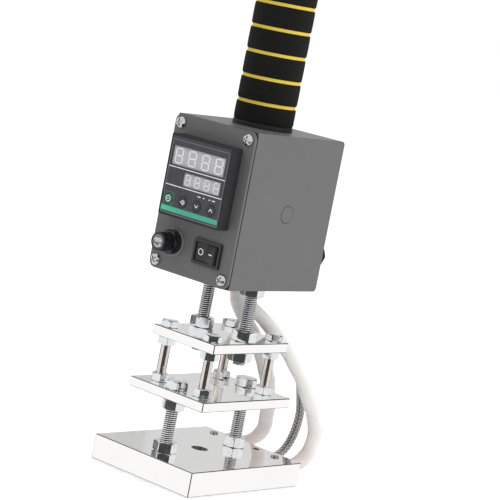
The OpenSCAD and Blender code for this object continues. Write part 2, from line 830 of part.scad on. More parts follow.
module gland_body() {
    color("#161616") difference() {
        union() {
            y_rod(gland_x, gland_z, rear_y - wall - 7, wall + 7 + eps, gland_d);
            translate([gland_x, rear_y, gland_z]) rotate([-90, 0, 0]) hex_nut(gland_af, 4, 0);
            y_rod(gland_x, gland_z, rear_y + 4 - eps, 7, gland_d - 1);
        }
        y_rod(gland_x, gland_z, rear_y - wall - 8, wall + 14, gland_bore + 1);
        y_rod(gland_x, gland_z, rear_y + 3, 9, gland_bore + 4);
    }
}

module gland_seal() {
    color("dimgray") difference() {
        y_rod(gland_x, gland_z, rear_y + 3, 9, gland_bore + 3.9);
        y_rod(gland_x, gland_z, rear_y + 2, 11, gland_bore);
    }
}

module gland_cap_nut() {
    color("#161616") difference() {
        union() {
            translate([gland_x, rear_y + 4.3, gland_z]) rotate([-90, 0, 0]) hex_nut(gland_af, 8, 0);
            y_rod(gland_x, gland_z, rear_y + 12, 3, gland_d - 2);
        }
        y_rod(gland_x, gland_z, rear_y + 4, 8.2, gland_d - 1 + 2 * thread_fit);
        y_rod(gland_x, gland_z, rear_y + 12, 6, gland_bore + 1.5);
    }
}

module gland_lock_nut() {
    color("#161616") translate([gland_x, rear_y - wall - 4, gland_z]) rotate([-90, 0, 0])
        hex_nut(gland_af, 4, gland_d);
}

heating_plate();
heater_left();
heater_right();
probe_tip();
heater_set_screws();
lower_bolts();
base_lock_nuts();
middle_plate_nuts();
middle_plate();
post_bolts();
post_lower_nuts();
post_upper_nuts();
upper_plate();
upper_rods();
rod_nuts_below();
rod_nuts_above();
box_nuts_below();
box_nuts_inside();
box_shell();
panel_rivet_nuts();
front_panel();
panel_screws();
side_plug();
controller_case();
controller_bezel();
controller_overlay();
upper_display();
lower_display();
key_set();
key_shift();
key_down();
key_up();
controller_board();
key_switches();
controller_terminals();
controller_clamp();
fuse_holder();
fuse_washer();
fuse_holder_nut();
fuse_link();
fuse_cap();
switch_frame();
rocker();
switch_terminals();
grip_collar();
grip_core();
foam_grip();
grip_end_cap();
grip_bolt();
grip_washer();
terminal_strip();
lead_grommets();
heater_sleeve_left();
heater_sleeve_right();
probe_lead();
gland_body();
gland_seal();
gland_cap_nut();
gland_lock_nut();
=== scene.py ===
"""Looks of a hand-held hot foil stamper.

A heated plate hangs on tiers of bolts under a control box with a temperature
controller, a fuse, a rocker switch and a foam grip. Lengths are written in
millimetres and turned into metres where points go into a mesh. +Z is up, the
control panel faces -Y.
"""

from __future__ import annotations

import json
import logging
import math
from dataclasses import dataclass, field
from enum import Enum
from typing import Iterable, Sequence

import bmesh
import bpy
import numpy as np
from mathutils import Matrix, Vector
from numpy.typing import NDArray

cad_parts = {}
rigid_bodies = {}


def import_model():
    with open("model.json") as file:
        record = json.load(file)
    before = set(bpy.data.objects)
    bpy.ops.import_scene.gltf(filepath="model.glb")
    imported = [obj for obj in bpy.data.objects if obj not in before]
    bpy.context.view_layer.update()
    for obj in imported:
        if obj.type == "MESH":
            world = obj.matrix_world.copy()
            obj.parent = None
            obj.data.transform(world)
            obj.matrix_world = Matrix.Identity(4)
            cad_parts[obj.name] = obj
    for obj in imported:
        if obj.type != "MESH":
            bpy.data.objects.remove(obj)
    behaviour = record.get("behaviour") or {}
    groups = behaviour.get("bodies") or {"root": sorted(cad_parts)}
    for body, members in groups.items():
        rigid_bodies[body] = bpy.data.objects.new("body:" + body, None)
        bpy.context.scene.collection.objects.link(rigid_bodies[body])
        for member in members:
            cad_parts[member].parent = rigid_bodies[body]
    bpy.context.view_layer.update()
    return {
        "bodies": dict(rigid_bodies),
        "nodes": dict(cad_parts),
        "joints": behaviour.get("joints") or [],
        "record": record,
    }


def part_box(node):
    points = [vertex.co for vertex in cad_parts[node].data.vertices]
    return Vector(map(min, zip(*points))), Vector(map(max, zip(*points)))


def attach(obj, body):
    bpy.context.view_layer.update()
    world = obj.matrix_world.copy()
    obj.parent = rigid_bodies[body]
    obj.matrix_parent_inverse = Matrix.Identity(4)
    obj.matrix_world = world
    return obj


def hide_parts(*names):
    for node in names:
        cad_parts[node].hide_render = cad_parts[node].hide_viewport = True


Array = NDArray[np.float64]
Colour = tuple[float, float, float]

MM = 0.001
TURN = 2 * math.pi
MERGE_DISTANCE = 2e-7
EASED_ANGLE = math.radians(34)
SMALL_EDGE_SHARE = 0.15
SHARP_ANGLE = math.radians(28)
COPLANAR_ANGLE = math.radians(0.6)
NODE_MERGE_DISTANCE = 1e-6
NUT_CONE = math.radians(30)
HEX_CORNER_SHARE = 0.03
NUT_RING_SHARE = 0.475
COUNTERSINK = 0.5
THREAD_DEPTH = 0.61
THREAD_CREST_FLAT = 0.14
THREAD_FLANK = 0.7
ROWS_PER_PITCH = 8
CURVE_STEPS = 24
LOG = logging.getLogger("stamper")


# ---------------------------------------------------------------- shapes


class Facing(Enum):
    """Where a shape's own +Z points once it is placed."""

    UP = "up"
    FRONT = "front"
    REAR = "rear"
    RIGHT = "right"


def facing(points: Array, way: Facing) -> Array:
    """Turns points drawn about +Z so that their +Z points the given way.

    Args:
        points: any array of points, last axis x, y, z.
        way: the direction that +Z is turned to.

    Returns:
        The turned points, in an array of the same shape.
    """
    x, y, z = points[..., 0], points[..., 1], points[..., 2]
    if way is Facing.FRONT:
        return np.stack([x, -z, y], -1)
    if way is Facing.REAR:
        return np.stack([-x, z, y], -1)
    if way is Facing.RIGHT:
        return np.stack([z, x, y], -1)
    return points


def fillet(corners: Sequence[tuple[float, float, float]], steps: int = 4,
           closed: bool = False) -> Array:
    """Rounds a polyline: each corner becomes an arc of its own radius.

    The arc touches both edges at radius / tan(half the corner's angle) from the
    corner, and its points are spread evenly over the turn.

    Args:
        corners: (x, y, radius) of each corner; radius 0 keeps it sharp.
        steps: spans on each arc.
        closed: whether the last corner joins the first.

    Returns:
        The outline's points, shape (n, 2); a closed outline repeats its first point.
    """
    flat = np.array([c[:2] for c in corners], float)
    points: list[Array] = []
    count = len(corners)
    for i, (_, _, radius) in enumerate(corners):
        ends = not closed and i in (0, count - 1)
        if radius <= 0 or ends:
            points.append(flat[i][None])
            continue
        before = flat[i - 1] - flat[i]
        after = flat[(i + 1) % count] - flat[i]
        before /= np.linalg.norm(before)
        after /= np.linalg.norm(after)
        half = math.acos(float(np.clip(before @ after, -1, 1))) / 2
        middle = before + after
        middle /= np.linalg.norm(middle)
        centre = flat[i] + middle * radius / math.sin(half)
        first = flat[i] + before * radius / math.tan(half) - centre
        last = flat[i] + after * radius / math.tan(half) - centre
        share = np.linspace(0, 1, steps + 1)[:, None]
        swing = math.acos(float(np.clip(first @ last / radius**2, -1, 1)))
        arc = (np.sin((1 - share) * swing) * first + np.sin(share * swing) * last) / math.sin(swing)
        points.append(centre + arc)
    outline = np.concatenate(points)
    return np.concatenate([outline, outline[:1]]) if closed else outline


def revolve(profile: Array, columns: int = 64) -> Array:
    """Surface of revolution: each (radius, height) of the profile turned once about Z.

    Args:
        profile: (n, 2) radii and heights.
        columns: spans round the turn.

    Returns:
        Grid of points (n, columns + 1, 3).
    """
    angle = np.linspace(0, TURN, columns + 1)[None]
    radius, height = profile[:, :1], profile[:, 1:]
    return np.stack([radius * np.cos(angle), radius * np.sin(angle), height + 0 * angle], -1)


def hex_outline(across_flats: float, corner: float, turn: float) -> Array:
    """Hexagon with rounded corners and extra points along its flats.

    Args:
        across_flats: distance between opposite flats.
        corner: radius at the corners.
        turn: turn about Z in degrees.

    Returns:
        Closed outline (n, 2), its points in order round the hexagon.
    """
    reach = across_flats / math.sqrt(3)
    angle = math.radians(turn) + np.arange(6) * TURN / 6
    corners = [(reach * math.cos(a), reach * math.sin(a), corner) for a in angle]
    outline = fillet(corners, 4, closed=True)
    rows: list[Array] = []
    for a, b in zip(outline[:-1], outline[1:]):
        spans = 8 if np.linalg.norm(b - a) > corner else 1
        rows.append(a + (b - a) * np.linspace(0, 1, spans, endpoint=False)[:, None])
    return np.concatenate(rows + [outline[:1]])


def hexagon(across_flats: float, height: float, bore: float, turn: float) -> Array:
    """Hex nut or bolt head whose ends are cut by a 30 degree cone.

    Rows run from the bore over the underside's ring, up the flats and back over
    the top to the bore; where the outline lies outside the ring, the end face
    drops by (distance outside) x tan 30, which draws the arched chamfers.

    Args:
        across_flats: distance between opposite flats.
        height: height over both faces.
        bore: hole diameter, 0 for a solid head.
        turn: turn about Z in degrees.

    Returns:
        Grid of points, underside at z = 0.
    """
    outline = hex_outline(across_flats, HEX_CORNER_SHARE * across_flats, turn)
    reach = np.linalg.norm(outline, axis=1)
    ray = outline / reach[:, None]
    ring = NUT_RING_SHARE * across_flats
    drop = np.maximum(reach - ring, 0) * math.tan(NUT_CONE)
    hole = bore / 2
    cut = COUNTERSINK if bore > 0 else 0.0

    def circle(radius: float, z: float) -> Array:
        """A ring of points on the outline's own rays."""
        return np.column_stack([ray * radius, np.full(len(ray), z)])

    rows = [
        circle(hole, cut),
        circle(hole + cut, 0),
        circle(ring, 0),
        np.column_stack([outline, drop]),
        np.column_stack([outline, height - drop]),
        circle(ring, height),
        circle(hole + cut, height),
        circle(hole, height - cut),
    ]
    if bore > 0:
        rows.append(circle(hole, cut))
    return np.stack(rows)


def screw_thread(diameter: float, pitch: float, low: float, high: float, columns: int = 40) -> Array:
    """Threaded shank from height low to high, with chamfered ends closed on its axis.

    The radius falls from the crest by THREAD_DEPTH pitches on a 60 degree flank; the
    flank's phase is height / pitch - angle / turn, which winds it as a helix.

    Args:
        diameter: over the crests.
        pitch: rise in one turn.
        low: height of the lower end.
        high: height of the upper end.
        columns: spans round the shank.

    Returns:
        Grid of points.
    """
    rows = int((high - low) / pitch * ROWS_PER_PITCH) + 1
    z = np.linspace(low, high, rows)[:, None]
    angle = np.linspace(0, TURN, columns + 1)[None]
    phase = (z / pitch - angle / TURN) % 1.0
    valley = np.clip((np.abs(2 * phase - 1) - THREAD_CREST_FLAT) / THREAD_FLANK, 0, 1)
    from_end = np.minimum(z - low, high - z)
    crest = diameter / 2 - np.clip(0.5 * pitch - from_end, 0, None)
    radius = np.minimum(diameter / 2 - THREAD_DEPTH * pitch * valley, crest)
    shank = np.stack([radius * np.cos(angle), radius * np.sin(angle), z + 0 * angle], -1)
    tips = [shank[:1] * [0, 0, 1], shank[-1:] * [0, 0, 1]]
    return np.concatenate([tips[0], shank, tips[1]])


def frames_along(path: Array, first_side: Array) -> tuple[Array, Array, Array]:
    """Directions along a path with the least twist.

    Each point's side is the last one with its part along the new tangent taken off.

    Args:
        path: (n, 3) points.
        first_side: the side direction wanted at the start.

    Returns:
        Tangents, sides and ups, each (n, 3).
    """
    tangent = np.gradient(path, axis=0)
    tangent /= np.linalg.norm(tangent, axis=1)[:, None]
    side = np.empty_like(path)
    last = first_side
    for i, t in enumerate(tangent):
        last = last - t * (last @ t)
        last = last / np.linalg.norm(last)
        side[i] = last
    return tangent, side, np.cross(tangent, side)


def smooth_path(points: Array, count: int) -> Array:
    """Evenly spaced points on a Catmull-Rom curve through the given ones.

    Args:
        points: (n, 3) points to pass through.
        count: number of points wanted.

    Returns:
        (count, 3) points, equal distances apart.
    """
    p = np.concatenate([points[:1] * 2 - points[1:2], points, points[-1:] * 2 - points[-2:-1]])
    t = np.linspace(0, 1, CURVE_STEPS, endpoint=False)[None, :, None]
    a, b, c, d = (p[i : len(p) - 3 + i, None] for i in range(4))
    curve = 0.5 * (2 * b + (c - a) * t + (2 * a - 5 * b + 4 * c - d) * t**2
                   + (3 * b - a - 3 * c + d) * t**3)
    dense = np.concatenate([curve.reshape(-1, 3), points[-1:]])
    length = np.concatenate([[0], np.cumsum(np.linalg.norm(np.diff(dense, axis=0), axis=1))])
    want = np.linspace(0, length[-1], count)
    return np.stack([np.interp(want, length, dense[:, k]) for k in range(3)], -1)


def strip(path: Array, width: float, thickness: float) -> Array:
    """Flat printed line: a thin box whose middle follows a path drawn in x, y.

    At each point the two edges stand off by half the width along the normal
    halfway between the neighbouring spans, stretched to keep the width at bends.

    Args:
        path: (n, 2) points of the line's middle.
        width: line width.
        thickness: height above z = 0.

    Returns:
        Closed grid of points (n + 2, 5, 3).
    """
    spans = np.diff(path, axis=0)
    spans /= np.linalg.norm(spans, axis=1)[:, None]
    normals = np.stack([-spans[:, 1], spans[:, 0]], -1)
    closed = np.allclose(path[0], path[-1])
    before = np.concatenate([normals[-1:] if closed else normals[:1], normals])
    after = np.concatenate([normals, normals[:1] if closed else normals[-1:]])
    edge = before + after
    edge /= np.maximum(0.5 * np.sum(edge * edge, axis=1), 0.6)[:, None]
    left, right = path + edge * width / 2, path - edge * width / 2
    low, top = np.zeros(len(path)), np.full(len(path), thickness)
    ring = [np.column_stack([left, low]), np.column_stack([right, low]), np.column_stack([right, top]),
            np.column_stack([left, top]), np.column_stack([left, low])]
    body = np.stack(ring, 1)
    if closed:
        return body
    ends = [np.repeat(row[:4].mean(0)[None, None], 5, 1) for row in (body[0], body[-1])]
    return np.concatenate([ends[0], body, ends[1]])


def pad(outline: Array, thickness: float, edge: float = 0.0) -> Array:
    """Flat raised area inside a closed outline, closed on its middle point.

    Args:
        outline: closed (n, 2) outline, repeating its first point.
        thickness: height above z = 0.
        edge: chamfer along the top rim.

    Returns:
        Grid of points.
    """
    middle = outline[:-1].mean(0)
    inner = middle + (outline - middle) * (1 - edge / np.linalg.norm(outline - middle, axis=1).mean())
    heart = middle + 0 * outline
    levels = [(heart, 0), (outline, 0), (outline, thickness - edge), (inner, thickness),
              (heart, thickness)]
    return np.stack([np.column_stack([ring, np.full(len(ring), z)]) for ring, z in levels])


def rectangle(width: float, height: float, radius: float = 0.0,
              centre: tuple[float, float] = (0, 0)) -> Array:
    """Closed outline of a rectangle with round corners."""
    x, y = width / 2, height / 2
    signs = ((1, 1), (-1, 1), (-1, -1), (1, -1))
    corners = [(s * x + centre[0], t * y + centre[1], radius) for s, t in signs]
    return fillet(corners, 5, closed=True)


def arc(radius: float, start: float, end: float, spans: int = 32) -> Array:
    """Points on a circle about the origin from one angle to another, in degrees."""
    angle = np.radians(np.linspace(start, end, spans + 1))
    return np.stack([radius * np.cos(angle), radius * np.sin(angle)], -1)


# ---------------------------------------------------------------- pieces


def grid_quads(rows: int, columns: int, start: int = 0) -> NDArray[np.int64]:
    """Corner numbers of the quads that join a grid's neighbouring rows and columns."""
    index = np.arange(rows * columns).reshape(rows, columns) + start
    return np.stack([index[:-1, :-1], index[:-1, 1:], index[1:, 1:], index[1:, :-1]], -1).reshape(-1, 4)


class Piece:
    """One new mesh, gathered from grids of points and then put on the object."""

    def __init__(self, name: str) -> None:
        """Starts an empty piece.

        Args:
            name: the Blender object's name.
        """
        self.name = name
        self.points: list[Array] = []
        self.faces: list[NDArray[np.int64]] = []
        self.uvs: list[Array] = []
        self.total = 0

    def add(self, grid: Array, at: Sequence[float] = (0, 0, 0), way: Facing = Facing.UP) -> Piece:
        """Adds one grid of points; its quads join neighbouring rows and columns.

        Args:
            grid: (rows, columns, 3) points in millimetres; where it closes, the last column
                lies on the first.
            at: where the grid's origin goes, in millimetres.
            way: where the grid's +Z is turned to.

        Returns:
            The piece itself.
        """
        rows, columns = grid.shape[:2]
        placed = facing(grid, way) + np.asarray(at, float)
        v, u = np.meshgrid(np.linspace(0, 1, rows), np.linspace(0, 1, columns), indexing="ij")
        self.points.append(placed.reshape(-1, 3))
        self.faces.append(grid_quads(rows, columns, self.total))
        self.uvs.append(np.stack([u, v], -1).reshape(-1, 2))
        self.total += rows * columns
        return self

    def place(self, finish: "Finish", body: str, slot: str, stands_for: Iterable[str] = (),
              tones: Array | None = None) -> bpy.types.Object:
        """Makes the mesh, dresses it and fixes it to a body.

        Args:
            finish: the piece's finish.
            body: the body it rides on.
            slot: the record's material slot; not used.
            stands_for: CAD nodes that it replaces.
            tones: optional value for each point, kept as the attribute "tone".

        Returns:
            The new object.
        """
        points = np.concatenate(self.points) * MM
        faces = np.concatenate(self.faces)
        mesh = bpy.data.meshes.new(self.name)
        mesh.from_pydata(points.tolist(), [], faces.tolist())
        layer = mesh.uv_layers.new(name="UVMap")
        layer.data.foreach_set("uv", np.concatenate(self.uvs)[faces.ravel()].ravel())
        if tones is not None:
            mesh.attributes.new("tone", "FLOAT", "POINT").data.foreach_set("value", tones)
        close_up(mesh, turn_out=True)
        obj = bpy.data.objects.new(self.name, mesh)
        return dress(obj, finish, body, stands_for)


def close_up(mesh: bpy.types.Mesh, turn_out: bool) -> None:
    """Merges doubled points, so seams and poles close, and marks sharp edges.

    Args:
        mesh: the mesh to work on.
        turn_out: whether normals are worked out again to point outwards.
    """
    work = bmesh.new()
    work.from_mesh(mesh)
    bmesh.ops.remove_doubles(work, verts=work.verts, dist=MERGE_DISTANCE)
    bmesh.ops.dissolve_degenerate(work, edges=work.edges, dist=MERGE_DISTANCE)
    if turn_out:
        bmesh.ops.recalc_face_normals(work, faces=work.faces)
    work.to_mesh(mesh)
    work.free()
    mesh.shade_smooth()
    mesh.set_sharp_from_angle(angle=SHARP_ANGLE)


def dress(obj: bpy.types.Object, finish: "Finish", body: str,
          stands_for: Iterable[str]) -> bpy.types.Object:
    """Links a new object, gives it its material, fixes it to its body and hides the nodes it stands
    for.

    Args:
        obj: the new object.
        finish: its finish.
        body: the body it rides on.
        stands_for: CAD nodes that it replaces.

    Returns:
        The same object.
    """
    bpy.context.scene.collection.objects.link(obj)
    obj.data.materials.clear()
    obj.data.materials.append(finish.material())
    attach(obj, body)
    nodes = tuple(stands_for)
    if nodes:
        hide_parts(*nodes)
    LOG.info("%s: %d faces on %s", obj.name, len(obj.data.polygons), body)
    return obj


def eased(frame: dict, node: str, finish: "Finish", body: str = "root",
          width: float = 0.25, spans: int = 2, least: float = 0.0) -> bpy.types.Object:
    """A CAD node's own shape with its hard edges broken by a small round.

    Args:
        frame: the loaded frame.
        node: the CAD node that the piece copies and replaces.
        finish: its finish.
        body: the body it rides on.
        width: width of the round in millimetres.
        spans: spans across the round.
        least: edges shorter than this, in millimetres, get a smaller round; above 0 the
            width isn't held back where rounds meet.

    Returns:
        The new object.
    """
    mesh = frame["nodes"][node].data.copy()
    mesh.name = f"{node}.eased"
    work = bmesh.new()
    work.from_mesh(mesh)
    bmesh.ops.remove_doubles(work, verts=work.verts, dist=NODE_MERGE_DISTANCE)
    bmesh.ops.dissolve_limit(work, angle_limit=COPLANAR_ANGLE, verts=work.verts, edges=work.edges)
    weight = work.edges.layers.float.new("bevel_weight_edge")
    for line in work.edges:
        if line.calc_face_angle(0.0) > EASED_ANGLE:
            line[weight] = 1.0 if line.calc_length() > least * MM else SMALL_EDGE_SHARE
    work.to_mesh(mesh)
    work.free()
    mesh.shade_smooth()
    mesh.set_sharp_from_angle(angle=SHARP_ANGLE)
    obj = bpy.data.objects.new(f"{node}.eased", mesh)
    edge = obj.modifiers.new("broken_edges", "BEVEL")
    edge.width = width * MM
    edge.segments = spans
    edge.limit_method = "WEIGHT"
    edge.use_clamp_overlap = least == 0.0
    edge.harden_normals = True
    return dress(obj, finish, body, (node,))


# ---------------------------------------------------------------- finishes


class Nodes:
    """Lays out the shader nodes of one material."""

    def __init__(self, name: str) -> None:
        """Starts a material with a Principled shader only.

        Args:
            name: the material's name.
        """
        self.made = bpy.data.materials.new(name)
        self.made.use_nodes = True
        self.tree = self.made.node_tree
        self.tree.nodes.clear()
        output = self.tree.nodes.new("ShaderNodeOutputMaterial")
        self.shader = self.tree.nodes.new("ShaderNodeBsdfPrincipled")
        self.tree.links.new(self.shader.outputs["BSDF"], output.inputs["Surface"])
        self.where = self.tree.nodes.new("ShaderNodeTexCoord")

    def put(self, **values: float | Colour) -> None:
        """Sets constants on the shader; a name's underscores stand for spaces."""
        for name, value in values.items():
            socket = self.shader.inputs[name.replace("_", " ")]
            socket.default_value = (*value, 1.0) if isinstance(value, tuple) else value

    def join(self, source: bpy.types.NodeSocket, socket: str) -> None:
        """Links a socket into the shader."""
        self.tree.links.new(source, self.shader.inputs[socket])

    def stretched(self, scale: Colour) -> bpy.types.NodeSocket:
        """Object coordinates multiplied by a scale along each axis."""
        node = self.tree.nodes.new("ShaderNodeMapping")
        node.inputs["Scale"].default_value = scale
        self.tree.links.new(self.where.outputs["Object"], node.inputs["Vector"])
        return node.outputs["Vector"]

    def noise(self, grain_mm: float, detail: float = 2.0,
              scale: Colour = (1, 1, 1)) -> bpy.types.NodeSocket:
        """Soft noise from 0 to 1 whose blotches are about grain_mm wide."""
        node = self.tree.nodes.new("ShaderNodeTexNoise")
        node.inputs["Scale"].default_value = 1 / (grain_mm * MM)
        node.inputs["Detail"].default_value = detail
        self.tree.links.new(self.stretched(scale), node.inputs["Vector"])
        return node.outputs["Fac"]

    def cells(self, size_mm: float) -> bpy.types.NodeSocket:
        """Distance to the nearest of scattered points about size_mm apart."""
        node = self.tree.nodes.new("ShaderNodeTexVoronoi")
        node.inputs["Scale"].default_value = 1 / (size_mm * MM)
        self.tree.links.new(self.where.outputs["Object"], node.inputs["Vector"])
        return node.outputs["Distance"]

    def along(self, axis: str, space: str = "Object") -> bpy.types.NodeSocket:
        """One coordinate, X, Y or Z."""
        node = self.tree.nodes.new("ShaderNodeSeparateXYZ")
        self.tree.links.new(self.where.outputs[space], node.inputs["Vector"])
        return node.outputs[axis]

    def upness(self) -> bpy.types.NodeSocket:
        """How far the surface faces up, from -1 to 1."""
        shape = self.tree.nodes.new("ShaderNodeNewGeometry")
        node = self.tree.nodes.new("ShaderNodeSeparateXYZ")
        self.tree.links.new(shape.outputs["Normal"], node.inputs["Vector"])
        return node.outputs["Z"]

    def squareness(self) -> bpy.types.NodeSocket:
        """Largest part of the object-space normal: 1 on a square side, less on a broken edge."""
        place = self.tree.nodes.new("ShaderNodeTexCoord")
        split = self.tree.nodes.new("ShaderNodeSeparateXYZ")
        self.tree.links.new(place.outputs["Normal"], split.inputs[0])
        parts = [self.math("ABSOLUTE", out) for out in split.outputs]
        return self.math("MAXIMUM", self.math("MAXIMUM", parts[0], parts[1]), parts[2])

    def tone(self) -> bpy.types.NodeSocket:
        """The piece's own "tone" attribute."""
        node = self.tree.nodes.new("ShaderNodeAttribute")
        node.attribute_name = "tone"
        return node.outputs["Fac"]

    def math(self, operation: str, *values: bpy.types.NodeSocket | float) -> bpy.types.NodeSocket:
        """One math node; each value is a socket or a number."""
        node = self.tree.nodes.new("ShaderNodeMath")
        node.operation = operation
        for socket, value in zip(node.inputs, values):
            if isinstance(value, (int, float)):
                socket.default_value = value
            else:
                self.tree.links.new(value, socket)
        return node.outputs["Value"]

    def times(self, *values: bpy.types.NodeSocket | float) -> bpy.types.NodeSocket:
        """The product of two values."""
        return self.math("MULTIPLY", *values)

    def plus(self, *values: bpy.types.NodeSocket | float) -> bpy.types.NodeSocket:
        """The sum of two values."""
        return self.math("ADD", *values)

    def minus(self, *values: bpy.types.NodeSocket | float) -> bpy.types.NodeSocket:
        """The first value less the second."""
        return self.math("SUBTRACT", *values)

    def spread(self, value: bpy.types.NodeSocket, low: float, high: float, to_low: float = 0.0,
               to_high: float = 1.0) -> bpy.types.NodeSocket:
        """Maps low..high to to_low..to_high, held at the ends."""
        node = self.tree.nodes.new("ShaderNodeMapRange")
        for socket, number in zip(list(node.inputs)[1:5], (low, high, to_low, to_high)):
            socket.default_value = number
        self.tree.links.new(value, node.inputs["Value"])
        return node.outputs["Result"]

    def tint(self, value: bpy.types.NodeSocket, *stops: tuple[float, Colour]) -> None:
        """Colours the shader by a ramp through (place, colour) stops."""
        node = self.tree.nodes.new("ShaderNodeValToRGB")
        ramp = node.color_ramp
        while len(ramp.elements) < len(stops):
            ramp.elements.new(1.0)
        for element, (place, colour) in zip(ramp.elements, stops):
            element.position = place
            element.color = (*colour, 1.0)
        self.tree.links.new(value, node.inputs["Fac"])
        self.join(node.outputs["Color"], "Base Color")

    def roughen(self, value: bpy.types.NodeSocket, low: float, high: float, smooth: float,
                rough: float) -> None:
        """Lets the roughness run from smooth to rough as value runs from low to high."""
        self.join(self.spread(value, low, high, smooth, rough), "Roughness")

    def bump(self, height: bpy.types.NodeSocket, depth_mm: float, strength: float = 1.0) -> None:
        """Gives the shader a bump whose full height is depth_mm."""
        node = self.tree.nodes.new("ShaderNodeBump")
        node.inputs["Strength"].default_value = strength
        node.inputs["Distance"].default_value = depth_mm * MM
        self.tree.links.new(height, node.inputs["Height"])
        self.join(node.outputs["Normal"], "Normal")


def shade(colour: Colour, factor: float) -> Colour:
    """A colour made lighter or darker by a factor, held below 1."""
    return tuple(min(1.0, channel * factor) for channel in colour)


@dataclass(frozen=True)
class Finish:
    """A surface finish. Each kind lays out its own nodes; one material is made per name."""

    name: str
    colour: Colour

    def lay(self, nodes: Nodes) -> None:
        """Lays out this finish's nodes."""
        raise NotImplementedError

    def material(self) -> bpy.types.Material:
        """The finish's material, made the first time it is asked for."""
        name = f"{self.name}.finish"
        known = bpy.data.materials.get(name)
        if known is not None:
            return known
        nodes = Nodes(name)
        self.lay(nodes)
        return nodes.made


@dataclass(frozen=True)
class PolishedPlate(Finish):
    """Plate with mirror-polished flats, finely ground sides and broken edges painted dark as shade."""

    edge_shade_tone: float = 0.12

    def lay(self, nodes: Nodes) -> None:
        """Flats take a low roughness with faint smears, sides a ground one with long scratches."""
        flat = nodes.math("ABSOLUTE", nodes.upness())
        is_flat = nodes.spread(flat, 0.7, 0.9)
        smear = nodes.noise(14, 3)
        scratch = nodes.noise(0.5, 2, (0.04, 0.04, 1))
        polished = nodes.spread(smear, 0.3, 0.8, 0.05, 0.13)
        ground = nodes.spread(scratch, 0.3, 0.7, 0.14, 0.2)
        on_sides = nodes.times(ground, nodes.minus(1.0, is_flat))
        nodes.join(nodes.plus(nodes.times(polished, is_flat), on_sides), "Roughness")
        # Painted shade: where the normal leaves the axes, on the broken edges, the colour drops to a
        # small share of the plate's.
        square = nodes.spread(nodes.squareness(), 0.94, 0.992)
        edge_shade_and_smear = nodes.times(square, nodes.spread(smear, 0.25, 0.8, 0.9, 1.0))
        edge, near_edge = shade(self.colour, self.edge_shade_tone), shade(self.colour, 0.97)
        nodes.tint(edge_shade_and_smear, (0.0, edge), (0.88, near_edge), (1.0, self.colour))
        nodes.put(Metallic=1.0)
        nodes.bump(nodes.times(scratch, nodes.minus(1.05, is_flat)), 0.002)


@dataclass(frozen=True)
class PlatedSteel(Finish):
    """Bright plated or bare steel with slight smears and machining marks."""

    rough: float = 0.16
    marks_mm: float = 0.35

    def lay(self, nodes: Nodes) -> None:
        """Roughness and colour drift with a broad noise; a fine one gives the marks."""
        drift = nodes.noise(3.0, 3)
        marks = nodes.noise(self.marks_mm, 2, (1, 1, 0.25))
        nodes.roughen(drift, 0.3, 0.75, self.rough * 0.7, self.rough * 1.5)
        nodes.tint(drift, (0.3, shade(self.colour, 0.88)), (0.75, self.colour))
        nodes.put(Metallic=1.0)
        nodes.bump(marks, 0.006)


@dataclass(frozen=True)
class ThreadedSteel(PlatedSteel):
    """Plated thread with painted shade in its valleys."""

    def lay(self, nodes: Nodes) -> None:
        """The attribute tone is 1 on the crests and 0 in the valleys; the valleys are painted dark as
        shade.
        """
        super().lay(nodes)
        # Painted shade: the valleys go down to a tenth of the plate's colour, and the crests keep it.
        crest = nodes.plus(nodes.times(nodes.tone(), 0.85), nodes.times(nodes.noise(3.0, 3), 0.2))
        nodes.tint(crest, (0.1, shade(self.colour, 0.1)), (0.45, shade(self.colour, 0.5)),
                   (0.7, self.colour))


@dataclass(frozen=True)
class PowderCoat(Finish):
    """Satin powder coat: a low orange-peel skin with fine paler specks."""

    def lay(self, nodes: Nodes) -> None:
        """Orange peel about 1.2 mm across with a grain of 0.35 mm on it."""
        peel = nodes.noise(1.2, 2)
        grain = nodes.noise(0.35, 2)
        cloud = nodes.noise(30, 2)
        speck = nodes.spread(grain, 0.62, 0.75)
        tone = nodes.plus(nodes.times(speck, 0.35), nodes.times(cloud, 0.4))
        nodes.tint(tone, (0.1, shade(self.colour, 0.92)), (0.9, shade(self.colour, 1.22)))
        nodes.roughen(peel, 0.3, 0.7, 0.4, 0.52)
        nodes.bump(nodes.plus(peel, nodes.times(grain, 0.5)), 0.03)


@dataclass(frozen=True)
class Moulded(Finish):
    """Moulded plastic or rubber with a spark-eroded grain."""

    rough: float = 0.4
    grain_mm: float = 0.4
    depth_mm: float = 0.015
    glint: float = 0.3

    def lay(self, nodes: Nodes) -> None:
        """Grain from one noise, slow change of gloss and shade from another."""
        grain = nodes.noise(self.grain_mm, 3)
        drift = nodes.noise(6, 2)
        nodes.roughen(drift, 0.3, 0.7, self.rough * 0.85, self.rough * 1.15)
        nodes.tint(drift, (0.3, shade(self.colour, 0.9)), (0.7, shade(self.colour, 1.1)))
        nodes.put(Specular_IOR_Level=self.glint)
        nodes.bump(grain, self.depth_mm)


@dataclass(frozen=True)
class Ink(Finish):
    """Screen-printed ink, a touch uneven."""

    pale_factor: float = 1.0
    fade_from_mm: float = 0.0
    fade_to_mm: float = 1.0

    def lay(self, nodes: Nodes) -> None:
        """The ink pales from one x to another, with a faint mottling."""
        mottle = nodes.noise(0.8, 2)
        nodes.put(Roughness=0.38)
        if self.pale_factor == 1.0:
            nodes.tint(mottle, (0.3, shade(self.colour, 0.93)), (0.7, self.colour))
            return
        # Paler by pale_factor at low x, passing to the ink's own colour between fade_from_mm and
        # fade_to_mm.
        share = nodes.spread(nodes.along("X"), self.fade_from_mm * MM, self.fade_to_mm * MM)
        share = nodes.plus(share, nodes.times(nodes.minus(mottle, 0.5), 0.08))
        nodes.tint(share, (0.0, shade(self.colour, self.pale_factor)), (1.0, self.colour))


